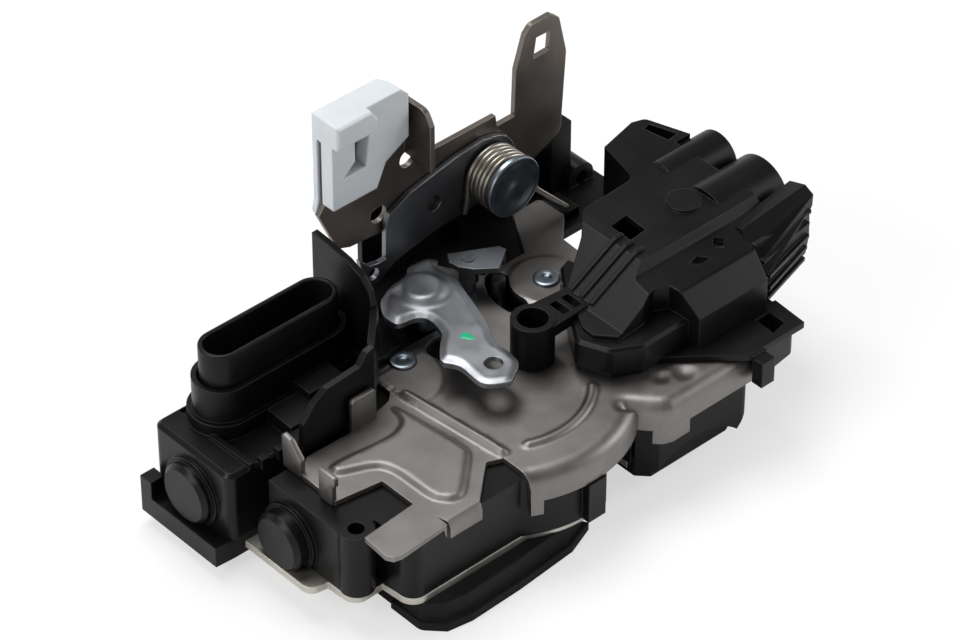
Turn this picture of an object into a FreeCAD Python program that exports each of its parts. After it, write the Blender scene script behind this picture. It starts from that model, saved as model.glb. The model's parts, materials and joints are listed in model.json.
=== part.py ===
import FreeCAD, Part
import math
import os

# Door latch actuator: latch with claw and pawl, plug housing, lever set and motor actuator.
# The model is laid out in millimetres from the claw's pivot axis, which is X = 0, Y = 0.
# Z = 0 is the underside of the rubber seal, so the whole latch lies on it.
# At the end every piece is moved so that the origin is the mouth of the left screw hole
# in the face plate's outer face.

V = FreeCAD.Vector
X_AXIS = V(1, 0, 0)
Y_AXIS = V(0, 1, 0)
Z_AXIS = V(0, 0, 1)

# Heights of the stack
SEAL_HEIGHT = 8.0
FACE_T = 2.0
HOUSING_DEPTH = 18.4
SHEET_T = 1.5
STACK_GAP = 0.1
FACE_Z = SEAL_HEIGHT
HOUSING_Z = FACE_Z + FACE_T
HOUSING_TOP = HOUSING_Z + HOUSING_DEPTH
PLATE_Z = HOUSING_TOP + STACK_GAP
PLATE_TOP = PLATE_Z + SHEET_T

# Pivots of the latch
PIVOT_SPACING = 48.3
PAWL_X = PIVOT_SPACING
PIVOT_R = 2.8
PIVOT_HEAD_R = 3.5
PIVOT_HEAD_H = 0.9
RIVET_STEP = 0.5
RUN_GAP = 0.06
PLATE_FIT = 0.02

# Striker slot
SLOT_X = 24.5
SLOT_W = 14.0

# Claw and pawl
CLAW_T = 5.0
CLAW_Z = HOUSING_Z + 3.0
CLAW_SWING = 55.0
CLAW_SKIN = 0.8
TOOTH_R = 26.0
TOOTH_ROOT = 21.5
TOOTH_ANGLE = 60.0
PAWL_DROP = 7.0
NOSE_GAP = 0.4

# Box with the plug tower
BOX_LEFT = -59.6
BOX_FRONT = -4.6
BOX_BACK = 24.5
BOX_RIGHT = -8.2
BOX_TOP = 30.0
BOX_SILL = 9.6
COVER_POSTS_X = (-56.2, -21.0)
COVER_POSTS_Y = (-1.0, 20.4)
FLANGE_Z = 3.5
FLANGE_OUT = 4.0
PLUG_Y = 15.0
PLUG_L = 41.0
PLUG_W = 11.2
PLUG_LEFT = -50.6
PLUG_WALL = 1.3
SHROUD_FLOOR = 28.8
SOCKET_FLOOR = 33.0
PLUG_TOP = 52.4
COLLAR_WALL = 1.4
COLLAR_GAP = 0.6
COLLAR_TOP = 42.9
COLLAR_FLARE = 1.4
SPLASH_T = 1.8

# Levers that turn on the big pin
PIN_X = 49.4
PIN_Z = 51.6
PIN_R = 4.0
PIN_HEAD_R = 8.6
PIN_HEAD_T = 1.6
PIN_HEAD_Y = 13.0
LEVER_A_Y = 25.0
LEVER_A_T = 1.5
LEVER_GAP = 0.25
LEVER_B_T = 1.5
WIRE_R = 0.7
COIL_R = 7.7
COIL_TURNS = 4.5
COIL_PITCH = 1.46
SOFT_GAP = 0.3
ROD_EYE_X = 10.6
ROD_EYE_Z = 89.6
ROD_EYE_R = 2.6
ROD_EYE_DEPTH = 5.8

# Actuator cover
COVER_WALL = 1.8
LEDGE_Z = 39.6
ARM_TOP = 42.0
RING_X = 25.0
RING_Y = -20.0
RING_R = 5.6
RING_BORE = 4.0
EMBOSS_X = 78.3
EMBOSS_Y = -18.2

# Motor drive
MOTOR_Y = -20.0
MOTOR_Z = 42.0
SHAFT_R = 0.75
WORM_R = 2.7
WHEEL_R = 9.0
WHEEL_TEETH = 32
WHEEL_AXLE = (70.4, MOTOR_Y - WORM_R - WHEEL_R - 0.1)
AXLE_R = 1.6


def corner_points(before, corner, after, radius):
    """Two tangent points and the middle of the arc that rounds one corner."""
    to_before = (before - corner).normalize()
    to_after = (after - corner).normalize()
    half = to_before.getAngle(to_after) / 2.0
    reach = radius / math.tan(half)
    bisector = (to_before + to_after).normalize()
    centre = corner + bisector * (radius / math.sin(half))
    return corner + to_before * reach, centre - bisector * radius, corner + to_after * reach


def outline(corners):
    """Closed wire in the XY plane. A corner is (x, y) or (x, y, radius)."""
    points = [V(c[0], c[1], 0) for c in corners]
    radii = [c[2] if len(c) > 2 else 0.0 for c in corners]
    count = len(points)
    ends = []
    for i in range(count):
        if radii[i] > 0:
            ends.append(corner_points(points[i - 1], points[i], points[(i + 1) % count], radii[i]))
        else:
            ends.append((points[i], None, points[i]))
    edges = []
    for i in range(count):
        start, middle, stop = ends[i]
        if middle is not None:
            edges.append(Part.Arc(start, middle, stop).toShape())
        following = ends[(i + 1) % count][0]
        if stop.distanceToPoint(following) > 1e-6:
            edges.append(Part.LineSegment(stop, following).toShape())
    return Part.Wire(edges)


def slab(corners, low, high):
    """Prism along Z."""
    solid = Part.Face(outline(corners)).extrude(V(0, 0, high - low))
    solid.translate(V(0, 0, low))
    return solid


def slab_y(corners, low, high):
    """Prism along Y of an outline given as (x, z)."""
    solid = Part.Face(outline(corners)).extrude(V(0, 0, high - low))
    solid.rotate(V(0, 0, 0), X_AXIS, 90)
    solid.translate(V(0, high, 0))
    return solid


def slab_x(corners, low, high):
    """Prism along X of an outline given as (y, z)."""
    solid = Part.Face(outline(corners)).extrude(V(0, 0, high - low))
    solid.rotate(V(0, 0, 0), V(1, 1, 1), 120)
    solid.translate(V(low, 0, 0))
    return solid


def block(x0, y0, z0, x1, y1, z1):
    return Part.makeBox(x1 - x0, y1 - y0, z1 - z0, V(x0, y0, z0))


def rod(x, y, low, high, radius):
    return Part.makeCylinder(radius, high - low, V(x, y, low), Z_AXIS)


def rod_y(x, z, low, high, radius):
    return Part.makeCylinder(radius, high - low, V(x, low, z), Y_AXIS)


def rod_x(y, z, low, high, radius):
    return Part.makeCylinder(radius, high - low, V(low, y, z), X_AXIS)


def tube(x, y, low, high, outer, inner):
    return rod(x, y, low, high, outer).cut(rod(x, y, low, high, inner))


def hexagon(x, y, low, high, radius):
    """Upright six-sided prism round a circle of the given radius."""
    reach = radius / math.cos(math.radians(30.0))
    angles = [math.radians(60.0 * i) for i in range(6)]
    return slab([(x + reach * math.cos(a), y + reach * math.sin(a)) for a in angles], low, high)


def join(first, *others):
    solid = first
    for other in others:
        solid = solid.fuse(other)
    return solid.removeSplitter()


def cut(first, *others):
    solid = first
    for other in others:
        solid = solid.cut(other)
    return solid


def turned(solid, degrees, x=0.0, y=0.0):
    """Copy turned about a vertical axis."""
    copy = solid.copy()
    copy.rotate(V(x, y, 0), Z_AXIS, degrees)
    return copy


def soften(solid, size, test):
    """Bevel the edges that the test picks."""
    edges = [edge for edge in solid.Edges if test(edge)]
    return solid.makeChamfer(size, edges)


def facets_between(first, second):
    """Solid with flat triangles between two outlines that have the same number of points."""
    faces = []
    count = len(first)
    for i in range(count):
        a, b = first[i], first[(i + 1) % count]
        c, d = second[i], second[(i + 1) % count]
        faces.append(Part.Face(Part.makePolygon([a, b, c, a])))
        faces.append(Part.Face(Part.makePolygon([b, d, c, b])))
    for ring in (first, second):
        faces.append(Part.Face(Part.makePolygon(ring + ring[:1])))
    return Part.makeSolid(Part.makeShell(faces))


def at_height(z):
    def test(edge):
        box = edge.BoundBox
        return abs(box.ZMin - z) < 0.01 and abs(box.ZMax - z) < 0.01
    return test


def stadium(x0, x1, y, half, low, high):
    """Long round-ended prism along X between the ends x0 and x1."""
    corners = [(x0, y - half, half * 0.999), (x1, y - half, half * 0.999),
               (x1, y + half, half * 0.999), (x0, y + half, half * 0.999)]
    return slab(corners, low, high)


# Outline of the latch in plan
DOME_X = 11.5
DOME_Y = -22.0
DOME_R = 35.2
DOME_SHELL = 1.7
BLOCK_LEFT = -51.6
BLOCK_FRONT = -50.2
BLOCK_BACK = -9.7
HOUSING_BACK = 31.0
HOUSING_RIGHT = 60.0
HOUSING_LEFT = -7.4
ROOF_T = 4.4
HUB_ROOM_R = 15.6
FLANGE_BOTTOM = 22.0
FRONT_FLANGE_Y = -56.2
PIN_HOLE = (-47.3, -36.8)
SCREWS = [(-30.0, -20.0), (4.0, -44.0), (50.5, 19.4)]
SCREW_R = 2.5
SCREW_ROOM = 7.6
SCREW_ROOM_H = 14.0
KIDNEY_R = 12.6
KIDNEY_W = 6.2
RELEASE_X = 14.5
RELEASE_Y = 9.0
PAWL_PIN_R = 1.8
PAWL_PIN_ANGLE = 160.0
RELEASE_STUD_TOP = 39.9
LINK_PIVOT = (31.6, 11.0)


def slot_cutter(low, high, extra=0.0):
    """Space for the striker: a slot open to the front with a round end."""
    half = SLOT_W / 2.0 + extra
    straight = block(SLOT_X - half, -70.0, low, SLOT_X + half, 0.0, high)
    return straight.fuse(rod(SLOT_X, 0.0, low, high, half))


def make_face_plate():
    z0, z1 = FACE_Z, FACE_Z + FACE_T
    left = slab([(-57, -6.6), (-57, -30.3, 3), (-51.8, -31.2), (-51.4, -40.6, 4.0), (-42.4, -40.4),
                 (-41.7, -50.4, 4.5), (10, -50.4), (10, -6.6)], z0, z1)
    dome = rod(DOME_X, DOME_Y, z0, z1, DOME_R - 2.6).cut(block(-60, -6.6, z0, HOUSING_LEFT, 40, z1))
    dome = dome.fuse(rod(0, 0, z0, z1, HUB_ROOM_R + 1.0))
    right = slab([(HOUSING_LEFT, -40), (32.6, -40), (32.6, -14.8), (HOUSING_RIGHT, -14.8, 3),
                  (HOUSING_RIGHT, HOUSING_BACK - 2, 3), (HOUSING_LEFT, HOUSING_BACK - 2)], z0, z1)
    plate = join(left, dome, right).cut(block(32.6, -60, z0, 70, -14.8, z1))
    plate = cut(plate, slot_cutter(z0, z1), rod(PIN_HOLE[0], PIN_HOLE[1], z0, z1, 2.1))
    for x in (0.0, PAWL_X):
        plate = plate.cut(rod(x, 0, z0, z1, PIVOT_R + PLATE_FIT))
    for x, y in SCREWS:
        plate = plate.cut(rod(x, y, z0, z1, SCREW_R))
    return plate.removeSplitter()


def make_seal():
    lip = 2.4
    outer = [(-38.6, -9.6), (-38.6, -50.0, 3), (-34.5, -54.0), (-28.0, -55.0), (-12.0, -54.6),
             (6.0, -53.2), (13.4, -50.6), (13.4, -12.0), (58.0, -12.0, 3), (58.0, 27.0, 3),
             (-5.6, 27.0, 3), (-5.6, -9.6)]
    body = slab(outer, 0.0, SEAL_HEIGHT)
    flare = slab([(-39.6, -40), (-39.6, -50.6, 3), (-35.0, -55.4), (-28.0, -56.6), (-12.0, -56.2),
                  (6.6, -54.8), (15.0, -51.6), (13.0, -48.0), (-10.0, -45.0)], 0.0, lip)
    wall = 4.6
    window = slab([(-38.6 + wall, -9.6 - wall), (-38.6 + wall, -48.0, 3), (-28.0, -50.0), (4.0, -48.6),
                   (13.4 - wall, -46.0), (13.4 - wall, -9.6 - wall)], 0.0, SEAL_HEIGHT)
    rear = slab([(-5.6 + wall, -4.0), (13.0, -4.0), (13.0, 27.0 - wall), (-5.6 + wall, 27.0 - wall, 2)],
                0.0, SEAL_HEIGHT)
    right = slab([(36.0, -12.0 + wall), (58.0 - wall, -12.0 + wall, 2), (58.0 - wall, 27.0 - wall, 2),
                  (36.0, 27.0 - wall)], 0.0, SEAL_HEIGHT)
    return cut(join(body, flare), window, rear, right, slot_cutter(0.0, SEAL_HEIGHT, 1.5))


def housing_outer(low, high):
    """Outline of the black latch housing: the block on the left, the dome and the pawl's side."""
    left = slab([(BLOCK_LEFT, BLOCK_BACK), (BLOCK_LEFT, -35.0), (-42.0, -36.0),
                 (-41.9, BLOCK_FRONT, 4.0), (-3.4, BLOCK_FRONT, 3.5), (0, -30), (0, BLOCK_BACK)], low, high)
    lobe = rod(PIN_HOLE[0], PIN_HOLE[1], low, high, 4.5)
    bridge = block(BLOCK_LEFT + 0.6, -37.5, low, -41.0, -33.0, high)
    dome = rod(DOME_X, DOME_Y, low, high, DOME_R - DOME_SHELL)
    dome = dome.cut(block(-60, BLOCK_BACK, low, HOUSING_LEFT, 40, high))
    dome = dome.fuse(rod(0, 0, low, high, HUB_ROOM_R + 1.3))
    middle = block(HOUSING_LEFT, -30, low, 32.6, HOUSING_BACK, high)
    pawl_side = slab([(20, -13.8), (HOUSING_RIGHT, -13.8, 4), (HOUSING_RIGHT, HOUSING_BACK, 4),
                      (20, HOUSING_BACK)], low, high)
    shape = join(left, lobe, bridge, dome, middle, pawl_side)
    return shape.cut(block(32.6, -60, low, 80, -13.8, high))


def make_latch_housing():
    z0, z1 = HOUSING_Z, HOUSING_TOP
    body = housing_outer(z0, z1)
    boss_y, boss_z = -18.0, 16.4
    rim = rod_x(boss_y, boss_z, BLOCK_LEFT - 1.1, BLOCK_LEFT + 2, 9.0)
    dome = rod_x(boss_y, boss_z, BLOCK_LEFT - 5.2, BLOCK_LEFT + 2, 7.9)
    dome = soften(dome, 1.2, lambda e: abs(e.BoundBox.XMax - (BLOCK_LEFT - 5.2)) < 0.01)
    below = block(-70, -40, z0 - 20, -40, 0, z0)
    body = body.fuse(rim.cut(below)).fuse(dome.cut(below))
    pillar = block(9.0, DOME_Y - DOME_R - 0.6, z0, 14.6, -48.0, FLANGE_BOTTOM - STACK_GAP)
    body = body.fuse(pillar)
    body = body.cut(block(29.6, -60, FLANGE_BOTTOM - 0.2, 33.5, -43.0, z1))
    roof = z1 - ROOF_T
    claw_room = rod(0, 0, z0, roof, 28.0).common(block(-4, -40, z0, 40, 29.4, roof))
    claw_room = claw_room.fuse(rod(0, 0, z0, roof, HUB_ROOM_R))
    swing_room = rod(0, 0, z0, roof, 22.6).common(block(-12, -40, z0, 5, -7, roof))
    finger_room = rod(0, 0, z0, roof, 37.6).common(block(-2, -40, z0, 40, 12, roof))
    pawl_room = slab([(36, -10.4), (57.4, -10.4), (57.4, 9, 3), (47.5, 20.4), (35, 29.2), (8, 29.2),
                      (8, 12), (30, 2)], z0, roof)
    body = cut(body, claw_room, swing_room, finger_room, pawl_room, slot_cutter(z0, roof))
    for x in (0.0, PAWL_X):
        body = body.cut(rod(x, 0, z0, z1, PIVOT_R + PLATE_FIT))
    body = body.cut(rod(PIN_HOLE[0], PIN_HOLE[1], z0, z1, 2.1))
    room = SCREW_ROOM / 2.0
    for x, y in SCREWS:
        body = body.cut(block(x - room, y - room, z0, x + room, y + room, z0 + SCREW_ROOM_H))
    body = body.cut(kidney(z0, z1, KIDNEY_W / 2.0 + 0.4))
    return body.removeSplitter()


def kidney(low, high, half):
    """Curved slot round the pawl's pivot, seen from its centre between two angles."""
    ring = tube(PAWL_X, 0, low, high, KIDNEY_R + half, KIDNEY_R - half)
    start, stop = 136.0, 190.0
    reach = 40.0
    a, b = math.radians(start), math.radians(stop)
    wedge = slab([(PAWL_X, 0), (PAWL_X + reach * math.cos(a), reach * math.sin(a)),
                  (PAWL_X + reach * math.cos(b), reach * math.sin(b))], low, high)
    shape = ring.common(wedge)
    for angle in (a, b):
        end = rod(PAWL_X + KIDNEY_R * math.cos(angle), KIDNEY_R * math.sin(angle), low, high, half)
        shape = shape.fuse(end)
    return shape


def make_back_plate():
    z0, z1 = PLATE_Z, PLATE_TOP
    left = slab([(-45.4, -14.6), (-40.4, -10.8), (-24, -11.2), (-12, -8.4), (-8, -4.6), (-4, -4.6),
                 (-4, -41.2), (-10.0, -41.4), (-20.4, -50.6), (-30.8, -50.6), (-32.7, -42.2),
                 (-32.7, -29.6), (-46.0, -27.6)], z0, z1)
    tongue = slab([(-31.5, -40.6), (-49.0, -41.9), (-49.6, -50.6, 2.2), (-46.4, -52.4, 2.0),
                   (-31.5, -51.4)], z0, z1)
    dome = rod(DOME_X, DOME_Y, z0, z1, DOME_R - 1).cut(block(-60, -70, z0, -9.6, -42.2, z1))
    dome = dome.cut(block(-40, -70, z0, -9.6, 30, z1)).cut(block(-20, 4.0, z0, 60, 40, z1))
    deck = slab([(-8, -6), (-6, 3.6), (20, 4), (22, 21), (32, 23), (38, 12), (52, 12), (60.6, 26.0, 2),
                 (70.0, 26.0, 1.5), (70.0, 15.6, 2), (61, 6, 4), (66.7, -6), (66.7, -54.0), (38, -54.0),
                 (34.5, -48), (20, -40)], z0, z1)
    plate = join(left, tongue, dome, deck)
    plate = plate.fuse(rod(PAWL_X, 0, z0, z1 + RIVET_STEP, 9.7))
    swell = rod(-5.0, -3.0, z0, z1 + RIVET_STEP, 12.4)
    plate = plate.fuse(swell.common(block(-8.0, -20.0, z0, 12.0, -1.0, z1 + RIVET_STEP)))
    plate = plate.fuse(front_flange())
    plate = plate.fuse(raised_field())
    plate = plate.fuse(arc_rib())
    plate = plate.fuse(plate_tabs())
    plate = cut(plate, kidney(z0, z1 + 2, KIDNEY_W / 2.0), rod(11.5, -3.0, z0, z1 + 1, 5.0))
    for x in (0.0, PAWL_X):
        plate = plate.cut(rod(x, 0, z0, z1 + 1, PIVOT_R + PLATE_FIT))
    return plate.removeSplitter()


def front_flange():
    """The edge that is drawn down round the dome and along the right side."""
    z0, z1 = FLANGE_BOTTOM, PLATE_TOP
    bend = 2.8
    outer = rod(DOME_X, DOME_Y, z0, z1, DOME_R)
    outer = outer.makeFillet(bend, [edge for edge in outer.Edges if at_height(z1)(edge)])
    inner = rod(DOME_X, DOME_Y, z0, PLATE_Z, DOME_R - SHEET_T)
    ring = outer.cut(inner)
    ring = ring.common(slab([(-5.6, -41), (-5.6, -70), (31.5, -70), (31.5, -42)], z0, z1))
    leg = block(-5.6, -60, FLANGE_BOTTOM - 4.6, -2.6, -48, FLANGE_BOTTOM)
    leg = rod(DOME_X, DOME_Y, FLANGE_BOTTOM - 4.6, FLANGE_BOTTOM, DOME_R).cut(
        rod(DOME_X, DOME_Y, FLANGE_BOTTOM - 4.6, FLANGE_BOTTOM, DOME_R - SHEET_T)).common(leg)
    front = [(30.2, -48.5), (34.0, -53.0), (38.0, FRONT_FLANGE_Y), (66.7, FRONT_FLANGE_Y), (66.7, -40),
             (34, -40)]
    shelf = slab(front, z0, z1)
    drawn = [edge for edge in shelf.Edges if at_height(z1)(edge) and edge.BoundBox.YMax < -48.4
             and edge.BoundBox.XMax < 66.8 and edge.BoundBox.XLength > 0.1]
    shelf = shelf.makeFillet(bend, drawn)
    pocket = slab([(29.0, -46.0), (32.3, -48.8), (35.2, -52.2), (38.6, FRONT_FLANGE_Y + SHEET_T),
                   (68, FRONT_FLANGE_Y + SHEET_T), (68, -39), (34, -39)], z0, PLATE_Z)
    side = shelf.cut(pocket)
    tab = slab([(35.0, -52.6), (38.6, FRONT_FLANGE_Y + SHEET_T), (44.5, FRONT_FLANGE_Y + SHEET_T),
                (44.5, FRONT_FLANGE_Y), (38.0, FRONT_FLANGE_Y), (34.2, -53.0)], z0 - 4.4, z0)
    return join(ring, leg, side, tab)


def raised_field():
    """Z-shaped pressed field over the block, its rolled right edge, and the lip over the block's front."""
    z0, z1 = PLATE_TOP - 0.2, PLATE_TOP + 1.1
    field = slab([(-41.0, -21.2, 1.5), (-39.4, -16.2, 1.5), (-20.4, -18.4), (-15.8, -16.6), (-13.8, -10.8),
                  (-8.2, -10.2), (-4.8, -40.6), (-10.2, -41.0), (-20.6, -48.8), (-26.2, -46.8),
                  (-29.1, -42.6),
                  (-29.1, -29.6), (-31.0, -25.4)], z0, z1)
    field = soften(field, 0.7, at_height(z1))
    roll = slab([(-8.6, -9.7), (-6.6, -9.6), (-3.9, -41.2), (-5.9, -41.2)], z0, z1 + 0.9)
    roll = soften(roll, 0.6, at_height(z1 + 0.9))
    lip = slab_x([(-50.4, PLATE_Z), (-48.0, PLATE_TOP), (-49.8, PLATE_TOP), (-51.2, PLATE_TOP - 0.5),
                  (-51.9, PLATE_TOP - 1.9), (-51.9, 25.2), (-50.4, 25.2)], -30.6, -20.6)
    return join(field, roll, lip)


def arc_rib():
    """Long bead pressed upwards along an arc of the dome."""
    radius, half, rise = 23.3, 1.1, 0.9
    start, stop = math.radians(-117.0), math.radians(-40.0)
    bead = tube(DOME_X, DOME_Y, PLATE_TOP - 0.3, PLATE_TOP + rise, radius + half, radius - half)
    reach = 60.0
    wedge = slab([(DOME_X, DOME_Y),
                  (DOME_X + reach * math.cos(start), DOME_Y + reach * math.sin(start)),
                  (DOME_X + reach * math.cos(-1.37), DOME_Y + reach * math.sin(-1.37)),
                  (DOME_X + reach * math.cos(stop), DOME_Y + reach * math.sin(stop))],
                 PLATE_TOP - 0.3, PLATE_TOP + rise)
    return soften(bead.common(wedge), 0.5, at_height(PLATE_TOP + rise))


def plate_tabs():
    """Three small tabs that stand up at the left edge."""
    z0 = PLATE_Z
    main = slab_y([(-26.2, z0), (-18.4, z0), (-18.4, 38.6), (-19.2, 39.4), (-25.4, 39.4), (-26.2, 38.6)],
                  -11.3, -9.8)
    curled = slab_x([(-14.8, z0), (-8.0, z0), (-7.6, 38.0), (-8.4, 38.8), (-11.0, 38.2), (-14.8, 34.0)],
                    -45.6, -44.1)
    hooked = slab_x([(-27.4, z0), (-22.4, z0), (-22.4, 37.6), (-28.2, 37.6), (-28.2, 34.8), (-27.4, 34.8)],
                    -46.6, -45.1)
    return join(main, curled, hooked)


def make_pivot(x):
    """Rivet through both plates, with its head on the back plate."""
    seat = PLATE_TOP + RIVET_STEP
    return join(rod(x, 0, FACE_Z, seat, PIVOT_R), rod(x, 0, seat, seat + PIVOT_HEAD_H, PIVOT_HEAD_R))


def make_connector_housing():
    box = slab([(BOX_LEFT, BOX_FRONT, 2.6), (BOX_RIGHT, BOX_FRONT), (BOX_RIGHT, BOX_BACK),
                (BOX_LEFT, BOX_BACK, 2.6)], BOX_SILL, BOX_TOP)
    box = soften(box, 1.0, lambda e: at_height(BOX_TOP)(e) and e.BoundBox.XMax < BOX_RIGHT - 0.5)
    rim = rod_x(9.5, 17.5, BOX_LEFT - 0.9, BOX_LEFT + 2, 9.4)
    dome = rod_x(9.5, 17.5, BOX_LEFT - 3.4, BOX_LEFT + 2, 8.2)
    dome = soften(dome, 1.1, lambda e: abs(e.BoundBox.XMax - (BOX_LEFT - 3.4)) < 0.01)
    under = block(-70, -10, -5, -50, 40, BOX_SILL)
    box = box.fuse(rim.cut(under)).fuse(dome.cut(under))
    ledge = slab([(BOX_RIGHT - 0.4, 1.6), (2.4, 3.1), (5.8, 16.2), (5.0, 26.4), (BOX_RIGHT - 0.4, 26.4)],
                 PLATE_TOP + STACK_GAP, 33.0)
    foot = slab([(BOX_RIGHT - 0.4, 4.6), (2.0, 4.6), (5.0, 16.2), (4.4, 26.4), (BOX_RIGHT - 0.4, 26.4)],
                HOUSING_TOP + STACK_GAP, PLATE_TOP + STACK_GAP)
    top = block(-52.4, BOX_FRONT + 0.8, BOX_TOP - 1.0, BOX_RIGHT, BOX_BACK - 1.4, BOX_TOP)
    box = box.cut(top)
    rib = slab([(-53.2, BOX_FRONT), (-51.6, BOX_FRONT), (-51.9, 10.4),
                (-53.5, 10.4)], BOX_TOP - 1.0, BOX_TOP + 0.8)
    ramp = slab_x([(-3.6, 28.5), (10.6, 28.5), (10.6, 33.6), (-2.6, 32.6)], -38.4, -22.9)
    bank = slab_x([(0.6, 28.5), (9.6, 28.5), (9.6, 36.2), (1.2, 35.8)], -29.0, -18.0)
    clips = [block(x, BOX_FRONT - 0.7, BOX_TOP - 2.4, x + 2.2, BOX_FRONT + 1.4,
                   BOX_TOP + 0.7) for x in (-49.8, -44.6)]
    box = join(box, ledge, foot, rib, ramp, bank, *clips)
    box = box.fuse(collar()).fuse(splash_wall())
    box = box.cut(rod(0, 0, BOX_SILL - 1, PLATE_TOP + STACK_GAP, HUB_ROOM_R + 1.4))
    box = box.cut(block(-5.0, -5.0, PLATE_TOP, 5.0, 4.2, PLATE_TOP + 1.6))
    box = box.cut(plug_body(SHROUD_FLOOR, PLUG_TOP, PLATE_FIT))
    box = box.cut(block(-50.0, 1.4, BOX_SILL, -18.2, 22.6, SHROUD_FLOOR - 2.4))
    box = box.cut(block(-44.0, 12.2, BOX_SILL, -16.2, 17.8, SHROUD_FLOOR + 1))
    for x in COVER_POSTS_X:
        for y in COVER_POSTS_Y:
            box = box.cut(block(x - 1.2, y - 1.2, BOX_SILL, x + 1.2, y + 1.2, BOX_SILL + 7))
    return box.removeSplitter()


def plug_body(low, high, extra=0.0):
    half = PLUG_W / 2.0 + extra
    return stadium(PLUG_LEFT - extra, PLUG_LEFT + PLUG_L + extra, PLUG_Y, half, low, high)


def collar():
    """Open collar round the plug shroud. It widens towards the box."""
    out = COLLAR_GAP + COLLAR_WALL
    outer = plug_body(BOX_TOP - 1.2, COLLAR_TOP, out)
    skirt = plug_body(BOX_TOP - 1.2, BOX_TOP + 3.4, out + COLLAR_FLARE)
    inner = plug_body(BOX_TOP + 1.0, COLLAR_TOP + 1.0, COLLAR_GAP)
    shape = outer.fuse(skirt).cut(inner)
    return shape.cut(block(BOX_RIGHT + 0.2, 0, 20, 0, 30, 60))


def splash_wall():
    """Tall wall between the plug and the levers. It turns off across the plug's front corner."""
    face = -6.0
    side = slab_x([(2.0, 30.2), (2.0, 48.6), (3.4, 54.4), (6.4, 57.6), (11.5, 59.6), (19.7, 60.7),
                   (24.4, 61.0), (24.4, 30.2)], face - SPLASH_T, face)
    turn_x, turn_y = -17.2, -9.2
    turn = slab([(face, 2.0), (turn_x, turn_y), (turn_x, turn_y + 1.4 * SPLASH_T),
                 (face - 1.4 * SPLASH_T, 2.0)],
                30.2, 50.2)
    front = slab_y([(turn_x, 30.2), (turn_x, 50.2), (-19.4, 49.6), (-21.8, 46.4), (-32.2, 45.6),
                    (-36.2, 43.0), (-39.8, 38.4), (-40.2, 30.2)], turn_y, turn_y + SPLASH_T)
    foot = slab([(-40.2, -9.2), (-17.2, -9.2), (-6.2, 2.2), (-12, 2.2), (-40.2, BOX_FRONT + 1.6)],
                PLATE_TOP + STACK_GAP, PLATE_TOP + 1.6)
    return join(side, turn, front, foot)


def make_connector_shroud():
    floor = SHROUD_FLOOR
    shape = plug_body(floor, PLUG_TOP).cut(plug_body(SOCKET_FLOOR, PLUG_TOP, -PLUG_WALL))
    for x, y in terminal_places():
        shape = shape.cut(block(x - 0.4, y - 0.4, floor, x + 0.4, y + 0.4, SOCKET_FLOOR))
    return shape


def terminal_places():
    first = PLUG_LEFT + 8.0
    return [(first + 3.6 * i, PLUG_Y + side * 1.9) for i in range(8) for side in (-1, 1)]


def make_terminal_pins():
    pins = []
    for x, y in terminal_places():
        pin = block(x - 0.32, y - 0.32, BOX_SILL + 3.0, x + 0.32, y + 0.32, 43.0)
        pins.append(pin)
    return Part.makeCompound(pins)


def make_circuit_board():
    board = block(-50.0 + STACK_GAP, 1.5, BOX_SILL + 1.2, -22.6, 19.2, BOX_SILL + 2.8)
    for x, y in terminal_places():
        board = board.cut(block(x - 0.4, y - 0.4, BOX_SILL, x + 0.4, y + 0.4, BOX_SILL + 3))
    return board


def make_connector_cover():
    z0, z1 = FLANGE_Z, BOX_SILL - STACK_GAP
    left = BOX_LEFT - FLANGE_OUT - 0.4
    plate = slab([(left, BOX_FRONT + 1.0), (BOX_LEFT + 1.2, BOX_FRONT + 0.6), (-18.6, BOX_FRONT + 0.6),
                  (-18.6, BOX_BACK + 0.5), (left, BOX_BACK + 0.5)], z0, z1)
    plate = plate.cut(block(-52.0, 2.0, z1 - 1.6, -24.0, 18.0, z1))
    ear = block(left, BOX_BACK - 3.6, z0, BOX_LEFT - STACK_GAP, BOX_BACK + 0.5, z1 + 5.2)
    posts = []
    for x in COVER_POSTS_X:
        for y in COVER_POSTS_Y:
            posts.append(block(x - 1.15, y - 1.15, z1 - 1, x + 1.15, y + 1.15, BOX_SILL + 5.8))
    return join(plate, ear, *posts)


def make_lower_base():
    z0, z1 = 5.0, HOUSING_TOP
    plan = slab([(33.2, -48.6), (37.4, -53.0), (66.0, -54.4, 3), (70.2, -49), (70.2, -15.0), (33.2, -15.0)],
                z0, z1)
    slope = slab_y([(60.6, z0 - 1), (62.2, z0), (69.4, 13.6), (70.3, 17), (74, 17), (74, z0 - 1)], -60, 0)
    body = plan.cut(slope)
    scoop = rod_y(50.0, z0 - 12.0, -60, -51.6, 19.0)
    body = body.cut(scoop)
    return body.cut(block(67.1, -60.0, FLANGE_BOTTOM - STACK_GAP, 80.0, -10.0, z1 + 1))


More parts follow.
